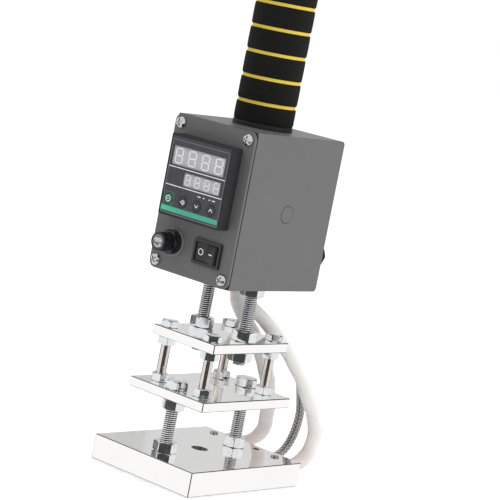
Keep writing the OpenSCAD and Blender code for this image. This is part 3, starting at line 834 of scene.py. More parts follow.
@dataclass(frozen=True)
class DigitBlock(Finish):
    """Unlit display: paler bars that stand in front of a grey face."""

    bars: Colour = (0.8, 0.8, 0.8)
    split_y_mm: float = 0.0

    def lay(self, nodes: Nodes) -> None:
        """What lies in front of the plane y = split_y is a bar, the rest is the face."""
        is_bar = nodes.math("LESS_THAN", nodes.along("Y"), self.split_y_mm * MM)
        haze = nodes.noise(5, 2)
        face = nodes.plus(is_bar, nodes.times(haze, 0.12))
        nodes.tint(face, (0.0, self.colour), (0.2, shade(self.colour, 1.1)), (1.0, self.bars))
        nodes.put(Roughness=0.3, Coat_Weight=0.3, Coat_Roughness=0.1)


@dataclass(frozen=True)
class Foam(Finish):
    """Closed-cell foam with burst cells, its grooves dyed another colour."""

    groove: Colour = (0.8, 0.55, 0.05)

    def lay(self, nodes: Nodes) -> None:
        """The attribute tone is 1 in the grooves; cells about 0.55 mm across dent the skin, and the
        dents are painted darker as shade.
        """
        cell = nodes.cells(0.55)
        pores = nodes.spread(cell, 0.15, 0.55)
        lumps = nodes.noise(2.5, 3)
        # Painted shade in the pores: the colour darkens towards each cell's middle, where the bump
        # dents the skin; the lumps add a random mottle.
        dark = nodes.plus(nodes.times(pores, 0.28), nodes.times(lumps, 0.2))
        share = nodes.plus(dark, nodes.times(nodes.tone(), 0.5))
        nodes.tint(share, (0.0, shade(self.colour, 0.6)), (0.46, shade(self.colour, 1.9)),
                   (0.56, shade(self.groove, 0.82)), (0.95, self.groove))
        nodes.put(Roughness=0.9, Specular_IOR_Level=0.12, Sheen_Weight=0.02, Sheen_Roughness=0.6)
        nodes.bump(nodes.plus(pores, nodes.times(lumps, 1.5)), 0.12)


@dataclass(frozen=True)
class Sleeving(Finish):
    """Braided glass-fibre sleeving: a fine diagonal weave, warmer where it has been hot."""

    warm: Colour = (0.72, 0.64, 0.615)
    around: float = 18.0
    length: float = 160.0

    def lay(self, nodes: Nodes) -> None:
        """Two crossed sine waves on the UV map make the braid; height sets the warmth."""
        u = nodes.times(nodes.along("X", "UV"), self.around)
        v = nodes.times(nodes.along("Y", "UV"), self.length)
        one = nodes.math("SINE", nodes.times(nodes.plus(u, v), TURN / 1.1))
        two = nodes.math("SINE", nodes.times(nodes.minus(u, v), TURN / 1.1))
        braid = nodes.math("MAXIMUM", one, two)
        height = nodes.along("Z")
        cloud = nodes.noise(7, 3)
        warmth = nodes.plus(nodes.spread(height, 8 * MM, 62 * MM, 0.0, 1.0),
                            nodes.spread(cloud, 0.2, 0.8, -0.22, 0.22))
        nodes.tint(warmth, (0.0, self.warm), (0.55, shade(self.colour, 0.97)), (1.0, self.colour))
        nodes.put(Roughness=0.55, Sheen_Weight=0.25, Sheen_Roughness=0.4, Subsurface_Weight=0.15,
                  Subsurface_Scale=0.003)
        nodes.bump(nodes.spread(braid, -0.6, 1.0), 0.09, 0.8)


@dataclass(frozen=True)
class Braid(Finish):
    """Braided stainless wire over the probe's cable."""

    def lay(self, nodes: Nodes) -> None:
        """The attribute tone is the height of the wires; the valleys between them are painted darker as
        shade.
        """
        tone = nodes.tone()
        # Painted shade: low wire, in the plait's valleys, is coloured down to a third of the wire's
        # colour.
        nodes.tint(tone, (0.1, shade(self.colour, 0.3)), (0.8, self.colour))
        nodes.roughen(nodes.noise(2, 2), 0.3, 0.7, 0.28, 0.42)
        nodes.put(Metallic=0.9)


@dataclass(frozen=True)
class FuseGlass(Finish):
    """Glass fuse link with nickel end caps, told apart by their place along Y."""

    glass_from_mm: float = 0.0
    glass_to_mm: float = 0.0

    def lay(self, nodes: Nodes) -> None:
        """Metal outside the glass stretch, pale smooth glass inside it."""
        y = nodes.along("Y")
        inside = nodes.times(nodes.math("GREATER_THAN", y, self.glass_from_mm * MM),
                            nodes.math("LESS_THAN", y, self.glass_to_mm * MM))
        nodes.join(nodes.minus(1.0, inside), "Metallic")
        nodes.tint(inside, (0.0, (0.7, 0.69, 0.66)), (1.0, self.colour))
        nodes.roughen(nodes.noise(1.5, 2), 0.3, 0.7, 0.08, 0.2)


POLISHED = PolishedPlate("polished_plate", (0.965, 0.955, 0.95))
ZINC = PlatedSteel("bright_zinc", (0.84, 0.85, 0.86), 0.1)
THREAD = ThreadedSteel("bright_zinc_thread", (0.97, 0.97, 0.97), 0.18)
CHROME = PlatedSteel("bright_chrome", (0.62, 0.62, 0.61), 0.12)
POST = PlatedSteel("stainless_post", (0.78, 0.72, 0.68), 0.08)
SHEATH = PlatedSteel("heater_sheath", (0.66, 0.64, 0.62), 0.3)
GRUB = PlatedSteel("set_screw_steel", (0.42, 0.41, 0.4), 0.25)
CORE = PlatedSteel("drawn_tube", (0.45, 0.45, 0.46), 0.35)
BRASS = PlatedSteel("brass_tab", (0.75, 0.56, 0.26), 0.25)
COAT = PowderCoat("grey_powder_coat", (0.1145, 0.1131, 0.116))
CASE = Moulded("case_plastic", (0.0174, 0.0174, 0.0188), 0.5, glint=0.15)
BEZEL = Moulded("bezel_plastic", (0.029, 0.029, 0.0305), 0.45, 0.5, 0.012, glint=0.12)
GLOSS = Moulded("gloss_black_plastic", (0.0116, 0.0116, 0.013), 0.16, 0.9, 0.004, glint=0.5)
ROCKER = Moulded("rocker_plastic", (0.0232, 0.0232, 0.0261), 0.3, 0.5, 0.01, glint=0.3)
OVERLAY = Moulded("printed_overlay", (0.0609, 0.058, 0.0667), 0.36, 0.5, 0.006, glint=0.2)
BOARD = Moulded("circuit_board", (0.029, 0.174, 0.0653), 0.4, 1.2, 0.01)
WHITE_PLASTIC = Moulded("white_terminal_plastic", (0.85, 0.85, 0.85), 0.45)
GREY_SEAL = Moulded("grey_seal", (0.1885, 0.1885, 0.1958), 0.5, 0.6, 0.02)
RUBBER = Moulded("black_rubber", (0.0116, 0.0116, 0.0116), 0.7, 0.5, 0.03, glint=0.1)
KEY_GREY = Moulded("key_grey", (0.0435, 0.0435, 0.0493), 0.5, 0.35, 0.015, glint=0.2)
KEY_GREEN = Moulded("key_green", (0.029, 0.116, 0.087), 0.5, 0.35, 0.015, glint=0.2)
WHITE_INK = Ink("white_ink", (0.85, 0.85, 0.85))
# Pale grey for the painted highlight line on the controller's frame.
FRAME_HIGHLIGHT_INK = Ink("frame_edge_highlight_ink", (0.29, 0.29, 0.319))
PATCH_INK = Ink("dark_green_ink", (0.0247, 0.0957, 0.0725))
STRIPE_INK = Ink("green_ink", (0.0435, 0.377, 0.2392), 1.35, -22.0, -6.0)
FOAM = Foam("black_foam", (0.0051, 0.0051, 0.0048), (0.7, 0.54, 0.085))
SLEEVING = Sleeving("glass_sleeving", (0.8, 0.795, 0.765))
WIRE_BRAID = Braid("wire_braid", (0.6, 0.59, 0.57))
FUSE_LABEL = Moulded("fuse_label_grey", (0.16, 0.16, 0.165), 0.35, 0.6, 0.006)
PALE_FLOOR = Moulded("pale_floor", (0.92, 0.92, 0.92), 0.9, 40.0, 0.0, glint=0.0)


# ---------------------------------------------------------------- sub-assemblies


def mirrored(x: float, y: float) -> list[tuple[float, float]]:
    """The places (x, y) and its mirror images, without repeats."""
    return sorted({(sx * x, sy * y) for sx in (-1, 1) for sy in (-1, 1)})


def low_high(node: str) -> tuple[Array, Array]:
    """A CAD node's lowest and highest corners in millimetres."""
    low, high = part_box(node)
    return np.array(low) / MM, np.array(high) / MM


def front_middle(node: str) -> Array:
    """Middle of the front of a CAD node's box, in millimetres."""
    low, high = low_high(node)
    return np.array([(low[0] + high[0]) / 2, low[1], (low[2] + high[2]) / 2])


@dataclass
class Tiers:
    """Heating plate, middle and upper plates and the bolts that hold them apart."""

    frame: dict
    lower_pitch: float = 63.0
    rod_pitch: float = 34.0
    post_x: float = 17.5
    post_y: float = 28.0
    rod_d: float = 8.0
    rod_lead: float = 1.25
    rod_af: float = 13.0
    post_d: float = 6.0
    post_af: float = 10.0
    head_mark_depth: float = 0.12
    post_tip: float = 1.2

    def build(self) -> None:
        """Builds plates, rods, bolts and nuts."""
        self.plates()
        self.rods()
        self.bolts()
        self.nuts()

    def plates(self) -> None:
        """The three plates, their edges just broken."""
        for node in ("heating_plate", "middle_plate", "upper_plate"):
            eased(self.frame, node, POLISHED, width=0.6, spans=4, least=4.0)

    def rods(self) -> None:
        """Two threaded rods between the upper plate and the box."""
        low, high = low_high("upper_rods")
        piece = Piece("threaded_rods")
        shank = screw_thread(self.rod_d, self.rod_lead, low[2], high[2])
        for x, y in mirrored(self.rod_pitch / 2, 0):
            piece.add(shank, (x, y, 0))
        # The crests go along as tone; the thread finish paints the valleys dark as shade.
        tones = np.tile(self.crests(shank), 2)
        piece.place(THREAD, "root", "zinc_bolt", ("upper_rods",), tones)

    def crests(self, shank: Array) -> Array:
        """How near each point of a thread lies to its crest, from 0 in the valley to 1."""
        depth = THREAD_DEPTH * self.rod_lead
        reach = np.hypot(shank[..., 0], shank[..., 1]).ravel()
        return np.clip((reach - self.rod_d / 2 + depth) / depth, 0, 1)

    def bolts(self) -> None:
        """Two threaded lower bolts and four smooth corner posts, all with hex heads."""
        low, high = low_high("lower_bolts")
        seat = low_high("middle_plate")[1][2]
        bolts, caps = Piece("threaded_lower_bolts"), Piece("lower_bolt_heads")
        shank = screw_thread(self.rod_d, self.rod_lead, low[2], seat)
        for x, y in mirrored(0, self.lower_pitch / 2):
            bolts.add(shank, (x, y, 0))
            caps.add(self.bolt_head(self.rod_af, high[2] - seat, 12), (x, y, seat))
        # The crests go along as tone; the thread finish paints the valleys dark as shade.
        bolts.place(THREAD, "root", "zinc_bolt", ("lower_bolts",), np.tile(self.crests(shank), 2))
        caps.place(ZINC, "root", "zinc_bolt")

        low, high = low_high("post_bolts")
        seat = low_high("upper_plate")[1][2]
        posts, heads = Piece("corner_posts"), Piece("corner_post_heads")
        radius = self.post_d / 2
        foot, neck = low[2] + self.post_tip, seat - self.post_tip
        shank = revolve(fillet([(0, low[2], 0), (radius, low[2], 0.5), (radius, foot, 0),
                                (radius, neck, 0), (radius, seat, 0), (0, seat, 0)]), 48)
        for (x, y), turn in zip(mirrored(self.post_x, self.post_y), (15, 30, 45, 55)):
            posts.add(shank, (x, y, 0))
            heads.add(self.bolt_head(self.post_af, high[2] - seat, turn), (x, y, seat))
        posts.place(POST, "root", "stainless_post", ("post_bolts",))
        heads.place(ZINC, "root", "zinc_bolt")

    def bolt_head(self, across_flats: float, height: float, turn: float) -> Array:
        """Solid hex head with a shallow dished top inside its ring.

        Args:
            across_flats: distance between opposite flats.
            height: height of the head.
            turn: turn about Z in degrees.

        Returns:
            Closed grid, underside at z = 0.
        """
        head = hexagon(across_flats, height, 0, turn)
        rim = head[-3]
        rings = ((0.8, 0.0), (0.72, self.head_mark_depth), (0.0, self.head_mark_depth))
        dish = [rim * [share, share, 0] + [0, 0, height - depth] for share, depth in rings]
        return np.concatenate([head[:-2], np.stack(dish)])

    def nuts(self) -> None:
        """Every hex nut of the tiers, each node's pair or set of four as one piece."""
        lower = mirrored(0, self.lower_pitch / 2)
        rods = mirrored(self.rod_pitch / 2, 0)
        posts = mirrored(self.post_x, self.post_y)
        for node, places, flats, bore, turns in (
            ("base_lock_nuts", lower, self.rod_af, self.rod_d, (40, 10)),
            ("middle_plate_nuts", lower, self.rod_af, self.rod_d, (24, 5)),
            ("rod_nuts_below", rods, self.rod_af, self.rod_d, (12, 38)),
            ("rod_nuts_above", rods, self.rod_af, self.rod_d, (43, 37)),
            ("box_nuts_below", rods, self.rod_af, self.rod_d, (8, 35)),
            ("box_nuts_inside", rods, self.rod_af, self.rod_d, (25, 25)),
            ("post_lower_nuts", posts, self.post_af, self.post_d, (15, 20, 55, 10)),
            ("post_upper_nuts", posts, self.post_af, self.post_d, (15, 15, 44, 12)),
        ):
            low, high = low_high(node)
            piece = Piece(f"{node}.chamfered")
            for (x, y), turn in zip(places, turns):
                piece.add(hexagon(flats, high[2] - low[2], bore, turn), (x, y, low[2]))
            piece.place(ZINC, "root", "zinc_nut", (node,))


@dataclass
class ControlBox:
    """Folded box, front panel, its screws and the plugged side hole."""

    frame: dict
    head_d: float = 7.2
    head_h: float = 2.4
    screw_edge: float = 5.0
    recess_half: float = 0.42
    recess_reach: float = 2.0
    recess_depth: float = 1.5
    corner: float = 3.0
    seam_strip_t: float = 0.55
    seam_strip_proud: float = 0.12
    seam_strip_width: float = 1.2
    wall_slope: float = 0.12
    end_slope: float = 0.5
    screw_d: float = 4.0
    screw_pitch: float = 0.7
    screw_turns: tuple[float, ...] = (38.0, 12.0, 65.0, 80.0)

    def build(self) -> None:
        """Builds the sheet parts and the four screws."""
        eased(self.frame, "box_shell", COAT, width=0.35, spans=3)
        eased(self.frame, "front_panel", COAT, width=0.3, spans=3)
        eased(self.frame, "side_plug", COAT, width=0.15)
        self.seam_shade_strip()
        self.screws()

    def seam_shade_strip(self) -> None:
        """Thin dark rubber strip round the seam between front panel and box: a dark sheet that stands
        in for the seam's shade.
        """
        low, high = low_high("box_shell")
        width, height = high[0] - low[0], high[2] - low[2]
        seam = low_high("front_panel")[1][1]
        # Painted shade: the strip stands a hair proud of the box all round, so the seam shows as a dark
        # line.
        outer = rectangle(width + 2 * self.seam_strip_proud, height + 2 * self.seam_strip_proud, self.corner)
        rim = self.seam_strip_width
        inner = rectangle(width - 2 * rim, height - 2 * rim, self.corner - rim)
        at = (0, seam + self.seam_strip_t / 2, (low[2] + high[2]) / 2)
        seam_strip = Piece("panel_seam_shade_strip").add(ring_pad(outer, inner, self.seam_strip_t), at, Facing.FRONT)
        seam_strip.place(RUBBER, "root", "black_rubber")

    def screw_head(self, turn: float) -> Array:
        """Pan head with a cross recess.

        Height over (r, angle) is a superellipse dome, less the recess: two crossed
        arms whose walls slope over a tenth of a millimetre and whose floor rises outwards.

        Args:
            turn: turn of the cross in degrees.

        Returns:
            Closed grid about +Z, seat at z = 0.
        """
        radius = np.concatenate([np.linspace(0, 0.62, 30), np.linspace(0.65, 1, 16)])[:, None]
        angle = np.linspace(0, TURN, 121)[None]
        x, y = (radius * self.head_d / 2 * f(angle - math.radians(turn)) for f in (np.cos, np.sin))
        dome = self.head_h * (1 - radius**2.6) ** 0.4 + 0 * angle

        def arm(across: Array, outwards: Array) -> Array:
            """Depth of one arm as a share of the whole, 0 outside it."""
            wall = np.clip((self.recess_half - np.abs(across)) / self.wall_slope + 0.5, 0, 1)
            end = np.clip((self.recess_reach - np.abs(outwards)) / self.end_slope + 0.5, 0, 1)
            return wall * end * (1 - 0.3 * np.abs(outwards) / self.recess_reach)

        z = dome - self.recess_depth * np.maximum(arm(x, y), arm(y, x))
        turned = [radius * self.head_d / 2 * f(angle) for f in (np.cos, np.sin)]
        top = np.stack([*turned, z], -1)
        return np.concatenate([top, top[-1:] * [1, 1, 0], top[-1:] * [0, 0, 0]])

    def screws(self) -> None:
        """The four panel screws and their shanks."""
        low, high = low_high("front_panel")
        tip = low_high("panel_screws")[1][1]
        piece = Piece("panel_screws.cross_recess")
        turns = iter(self.screw_turns)
        for x in (low[0] + self.screw_edge, high[0] - self.screw_edge):
            for z in (low[2] + self.screw_edge, high[2] - self.screw_edge):
                piece.add(self.screw_head(next(turns)), (x, low[1], z), Facing.FRONT)
                shank = screw_thread(self.screw_d, self.screw_pitch, 0.0, tip - low[1], 24)
                piece.add(shank, (x, low[1], z), Facing.REAR)
        piece.place(CHROME, "root", "chrome_screw", ("panel_screws",))


@dataclass
class Controller:
    """Square temperature controller: bezel, printed overlay, digits and keys."""

    frame: dict
    ink: float = 0.05
    line_width: float = 0.5
    line_heights: tuple[float, float] = (4.8, -6.0)
    key_height: float = -14.1
    key_names: tuple[str, ...] = ("key_set", "key_shift", "key_down", "key_up")
    key_d: float = 6.6
    patch: float = 9.0
    stripe_low: float = -21.3
    stripe_high: float = -18.4
    mark_width: float = 0.5
    print_width: float = 44.6
    highlight_height: float = 43.1
    highlight_drop: float = 0.9
    bar_depth: float = 0.82
    indicator_height: float = -8.4
    indicators: tuple[tuple[float, float], ...] = ((5.2, 2.4), (9.0, 1.2), (13.4, 1.2), (16.6, 2.4))
    centre: Array = field(init=False)

    def __post_init__(self) -> None:
        """Finds the middle of the controller's face."""
        self.centre = front_middle("controller_bezel")

    def on_face(self, piece: Piece, grid: Array, x: float = 0.0, z: float = 0.0) -> None:
        """Adds a grid to a piece, lying on the face and pointing out of it."""
        piece.add(grid, self.centre + [x, 0, z], Facing.FRONT)

    def build(self) -> None:
        """Builds housing, print, digits and keys."""
        eased(self.frame, "controller_bezel", BEZEL, width=0.3, spans=3)
        self.print_lines()
        self.print_green()
        self.keys()
        split = self.centre[1] + self.bar_depth
        for node in ("upper_display", "lower_display"):
            digits = DigitBlock(f"{node}_digits", (0.43, 0.43, 0.45), (0.78, 0.78, 0.8), split)
            paint(self.frame["nodes"][node], digits)

    def print_lines(self) -> None:
        """White rules across the overlay, a thin grey line round it that is a painted highlight on the
        frame's inner bevel, and the two indicator marks.
        """
        low, high = low_high("controller_overlay")
        half = (high[0] - low[0]) / 2
        rules = Piece("overlay_rules")
        for z in self.line_heights:
            self.on_face(rules, pad(rectangle(2 * half - 1.0, self.line_width), self.ink), 0, z)
        for x, width in self.indicators:
            self.on_face(rules, pad(rectangle(width, 0.55, 0.15), self.ink), x, self.indicator_height)
        rules.place(WHITE_INK, "root", "printed_overlay")
        # Painted highlight: a pale grey line where the bezel frame's inner bevel catches the light.
        highlight_line = Piece("overlay_frame_highlight")
        edge = rectangle(self.print_width, self.highlight_height, 0.8, (0, -self.highlight_drop))
        self.on_face(highlight_line, strip(edge, 0.22, self.ink))
        highlight_line.place(FRAME_HIGHLIGHT_INK, "root", "printed_overlay")

    def print_green(self) -> None:
        """Green stripe and the dark green patch round the first key."""
        stripe = Piece("green_stripe")
        height = self.stripe_high - self.stripe_low
        middle = (self.stripe_high + self.stripe_low) / 2
        band = pad(rectangle(self.print_width, height, 0.2), self.ink * 1.6)
        self.on_face(stripe, band, -0.2, middle)
        stripe.place(STRIPE_INK, "root", "printed_overlay")
        patch = Piece("green_key_patch")
        x = front_middle("key_set")[0]
        outline = resampled(rectangle(self.patch, self.patch, 1.6), 96)
        hole = outline / np.linalg.norm(outline, axis=1)[:, None] * (self.key_d / 2 + 0.2)
        self.on_face(patch, ring_pad(outline, hole, self.ink), x, self.key_height)
        patch.place(PATCH_INK, "root", "printed_overlay")

    def keys(self) -> None:
        """Round caps with a soft edge and a dished top, each with its mark on its own body."""
        chevron = np.array([[-1.3, -0.7], [0, 0.8], [1.3, -0.7]])
        triangle = np.array([[0.8, 1.3], [-1.2, 0], [0.8, -1.3], [0.8, 1.3]])
        marks = {
            "key_set": [arc(1.7, 0, 360, 32), np.array([[-0.6, 0.0], [0.6, 0.0]])],
            "key_shift": [triangle, np.array([[1.6, 0.8], [1.6, -0.8]])],
            "key_down": [chevron * [1, -1]],
            "key_up": [chevron],
        }
        for name in self.key_names:
            low, high = low_high(name)
            depth, flange = high[1] - low[1], (high[0] - low[0]) / 2
            r = self.key_d / 2
            shelf = -depth + 0.8
            profile = fillet([(0, -0.12, 0), (r * 0.62, -0.12, 0.8), (r * 0.85, 0, 0.6),
                              (r, 0, 0.35), (r, shelf, 0.1), (flange, shelf, 0.1),
                              (flange, -depth, 0.1), (0, -depth, 0)])
            front = front_middle(name)
            cap = Piece(f"{name}.cap").add(revolve(profile, 56), front, Facing.FRONT)
            finish, slot = (KEY_GREEN, "key_green") if name == "key_set" else (KEY_GREY, "key_grey")
            cap.place(finish, name, slot, (name,))
            mark = Piece(f"{name}.mark")
            for line in marks[name]:
                mark.add(strip(line, self.mark_width, 0.1), front + [0, 0.14, 0], Facing.FRONT)
            mark.place(WHITE_INK, name, slot)


def resampled(outline: Array, count: int) -> Array:
    """A closed outline with evenly spaced points.

    Args:
        outline: closed (n, 2) outline.
        count: spans wanted.

    Returns:
        Closed outline of count + 1 points.
    """
    length = np.concatenate([[0], np.cumsum(np.linalg.norm(np.diff(outline, axis=0), axis=1))])
    want = np.linspace(0, length[-1], count + 1)
    return np.stack([np.interp(want, length, outline[:, k]) for k in range(2)], -1)


def ring_pad(outer: Array, inner: Array, thickness: float) -> Array:
    """Flat raised ring between two outlines with equal numbers of points."""
    levels = [(inner, 0), (outer, 0), (outer, thickness), (inner, thickness), (inner, 0)]
    return np.stack([np.column_stack([ring, np.full(len(ring), z)]) for ring, z in levels])


@dataclass
class Fuse:
    """Panel fuse holder with its washer, ribbed cap and glass link."""

    frame: dict
    cap_d: float = 11.2
    neck_d: float = 8.8
    bore_d: float = 5.6
    ribs: int = 36
    rib_depth: float = 0.34
    label_d: float = 8.6
    grip_end: float = 7.7
    clip_from: float = 12.7
    end_cap: float = 5.0
    sign_width: float = 0.45

    def build(self) -> None:
        """Builds the holder, the cap with its label, and dresses the link."""
        eased(self.frame, "fuse_holder", GLOSS, width=0.3, spans=3)
        eased(self.frame, "fuse_washer", GREY_SEAL, width=0.2)
        self.cap()
        low, high = low_high("fuse_link")
        glass_from, glass_to = low[1] + self.end_cap, high[1] - self.end_cap
        paint(self.frame["nodes"]["fuse_link"],
              FuseGlass("fuse_glass_and_caps", (0.82, 0.86, 0.86), glass_from, glass_to))

    def cap(self) -> None:
        """Cap turned about the holder's axis; its side is ribbed by a rounded wave round the turn."""
        low, high = low_high("fuse_cap")
        axis = front_middle("fuse_cap")
        depth, r = high[1] - low[1], self.cap_d / 2
        label_r, neck_r, bore_r = self.label_d / 2, self.neck_d / 2, self.bore_d / 2
        profile = fillet([(0, -0.25, 0), (label_r, -0.25, 0.1), (label_r + 0.15, 0, 0.1),
                          (r - 0.1, 0, 0.7), (r, -1.2, 0.3), (r, -self.grip_end, 0.3),
                          (neck_r, -self.grip_end, 0.1), (neck_r, -depth, 0.2),
                          (bore_r, -depth, 0.1), (bore_r, -self.clip_from, 0.1),
                          (0, -self.clip_from, 0)], 5)
        body = revolve(profile, self.ribs * 8)
        turn = np.linspace(0, TURN, body.shape[1])
        wave = 1 - np.abs(np.cos(turn * self.ribs / 2)) ** 0.7
        on_side = (profile[:, 0] > r - 0.45) & (profile[:, 1] < -0.35)
        shrink = 1 - self.rib_depth / r * wave[None] * on_side[:, None]
        body[..., :2] *= shrink[..., None]
        cap = Piece("fuse_cap.ribbed").add(body, axis, Facing.FRONT)
        cap.place(GLOSS, "fuse_cap", "gloss_black", ("fuse_cap",))
        disc = pad(arc(label_r - 0.15, 0, 360, 48), 0.08)
        label = Piece("fuse_cap.label").add(disc, axis + [0, 0.27, 0], Facing.FRONT)
        label.place(FUSE_LABEL, "fuse_cap", "gloss_black")
        sign = Piece("fuse_cap.sign")
        over = axis + [0, 0.2, 0]
        box = rectangle(4.4, 1.7, 0.2, (0, 0.9))
        wire = np.array([[-3.3, 0.9], [3.3, 0.9]])
        curve = arc(2.9, 215, 325, 20)
        barb = curve[-1] + np.array([[-1.0, 0.25], [0.1, 0.15], [0.15, -1.05]])
        for line in (box, wire, curve, barb):
            sign.add(strip(line, self.sign_width, 0.06), over, Facing.FRONT)
        sign.place(WHITE_INK, "fuse_cap", "gloss_black")


@dataclass
class PowerSwitch:
    """Rocker switch lying with its left side pressed."""

    frame: dict
    tilt: float = 8.0
    pivot_depth: float = 3.0
    half: float = 8.2
    edge_rise: float = 3.4
    middle_rise: float = 2.6
    mark_x: float = 4.3
    pivot: Array = field(init=False)

    def __post_init__(self) -> None:
        """Finds the rocker's pivot."""
        self.pivot = front_middle("switch_frame") + [0, self.pivot_depth, 0]

    def build(self) -> None:
        """Builds the frame, the rocker and its two printed marks."""
        eased(self.frame, "switch_frame", GLOSS, width=0.45, spans=3)
        eased(self.frame, "rocker", ROCKER, body="rocker", width=0.35, spans=3)
        marks = Piece("rocker.marks")
        marks.add(self.on_rocker(strip(arc(1.75, 0, 360, 40), 0.5, 0.08), -self.mark_x))
        marks.add(self.on_rocker(strip(np.array([[-1.7, 0.0], [1.7, 0.0]]), 0.6, 0.08), self.mark_x))
        marks.place(WHITE_INK, "rocker", "rocker_plastic")

    def on_rocker(self, grid: Array, x: float) -> Array:
        """Lays a grid drawn in x, y on the rocker's sloping face, centred at x.

        The face stands off the pivot by middle_rise + |x| x slope; the whole is
        then turned about the pivot's Z axis by -tilt.

        Args:
            grid: points about +Z.
            x: where its origin goes across the rocker.

        Returns:
            Points in the frame's millimetres.
        """
        slope = (self.edge_rise - self.middle_rise) / self.half
        front = facing(grid, Facing.FRONT)
        across = front[..., 0] + x
        out = front[..., 1] - self.middle_rise - np.abs(across) * slope
        c, s = math.cos(math.radians(-self.tilt)), math.sin(math.radians(-self.tilt))
        turned = np.stack([across * c - out * s, across * s + out * c, front[..., 2]], -1)
        return turned + self.pivot


@dataclass
class Grip:
    """Foam grip with dyed grooves between its collar and end cap."""

    frame: dict
    band_pitch: float = 14.7
    bands: int = 8
    groove_d: float = 34.4
    groove_h: float = 1.9
    crown: float = 0.1
    shoulder: float = 0.35
    groove_corner: float = 0.25
    groove_lip: float = 0.2

    def build(self) -> None:
        """Builds collar, foam and end cap."""
        eased(self.frame, "grip_collar", CASE, width=0.35, spans=3)
        eased(self.frame, "grip_end_cap", CASE, width=0.7, spans=3)
        self.foam()

    def foam(self) -> None:
        """Tube of soft bands: each swells by crown at its middle and rounds into its grooves."""
        low, high = low_high("foam_grip")
        collar_top, r = low[2], (high[0] - low[0]) / 2
        box_top = low_high("grip_collar")[0][2]
        bore = low_high("grip_core")[1][0] + 0.05
        groove, lip = self.groove_d / 2, self.groove_d / 2 + self.groove_lip
        outline: list[tuple[float, float]] = [(bore, collar_top)]
        dyed: list[float] = [0.0]
        edges = [collar_top] + [box_top + i * self.band_pitch for i in range(1, self.bands)] + [high[2]]
        for i, (start, end) in enumerate(zip(edges[:-1], edges[1:])):
            bottom = start + (self.groove_h / 2 if i else 0)
            top = end - (self.groove_h / 2 if i < self.bands - 1 else 0)
            t = np.linspace(-1, 1, 15)
            ease = self.shoulder * np.clip((np.abs(t) - 0.8) / 0.2, 0, 1) ** 2.5
            radius = r - self.crown - ease + self.crown * (1 - t**2)
            if i:
                outline += [(groove, bottom - self.groove_h + self.groove_corner),
                            (groove, bottom - self.groove_corner), (lip, bottom)]
                dyed += [1.0] * 3
            outline += zip(radius.tolist(), ((bottom + top) / 2 + t * (top - bottom) / 2).tolist())
            dyed += [0.0] * len(t)
            if i < self.bands - 1:
                outline.append((lip, top))
                dyed.append(1.0)
        outline += [(bore, high[2]), (bore, collar_top)]
        dyed += [0.0, 0.0]
        grid = revolve(np.array(outline), 128)
        tones = np.repeat(np.array(dyed), grid.shape[1])
        obj = Piece("foam_bands").add(grid).place(FOAM, "root", "foam", ("foam_grip",), tones)


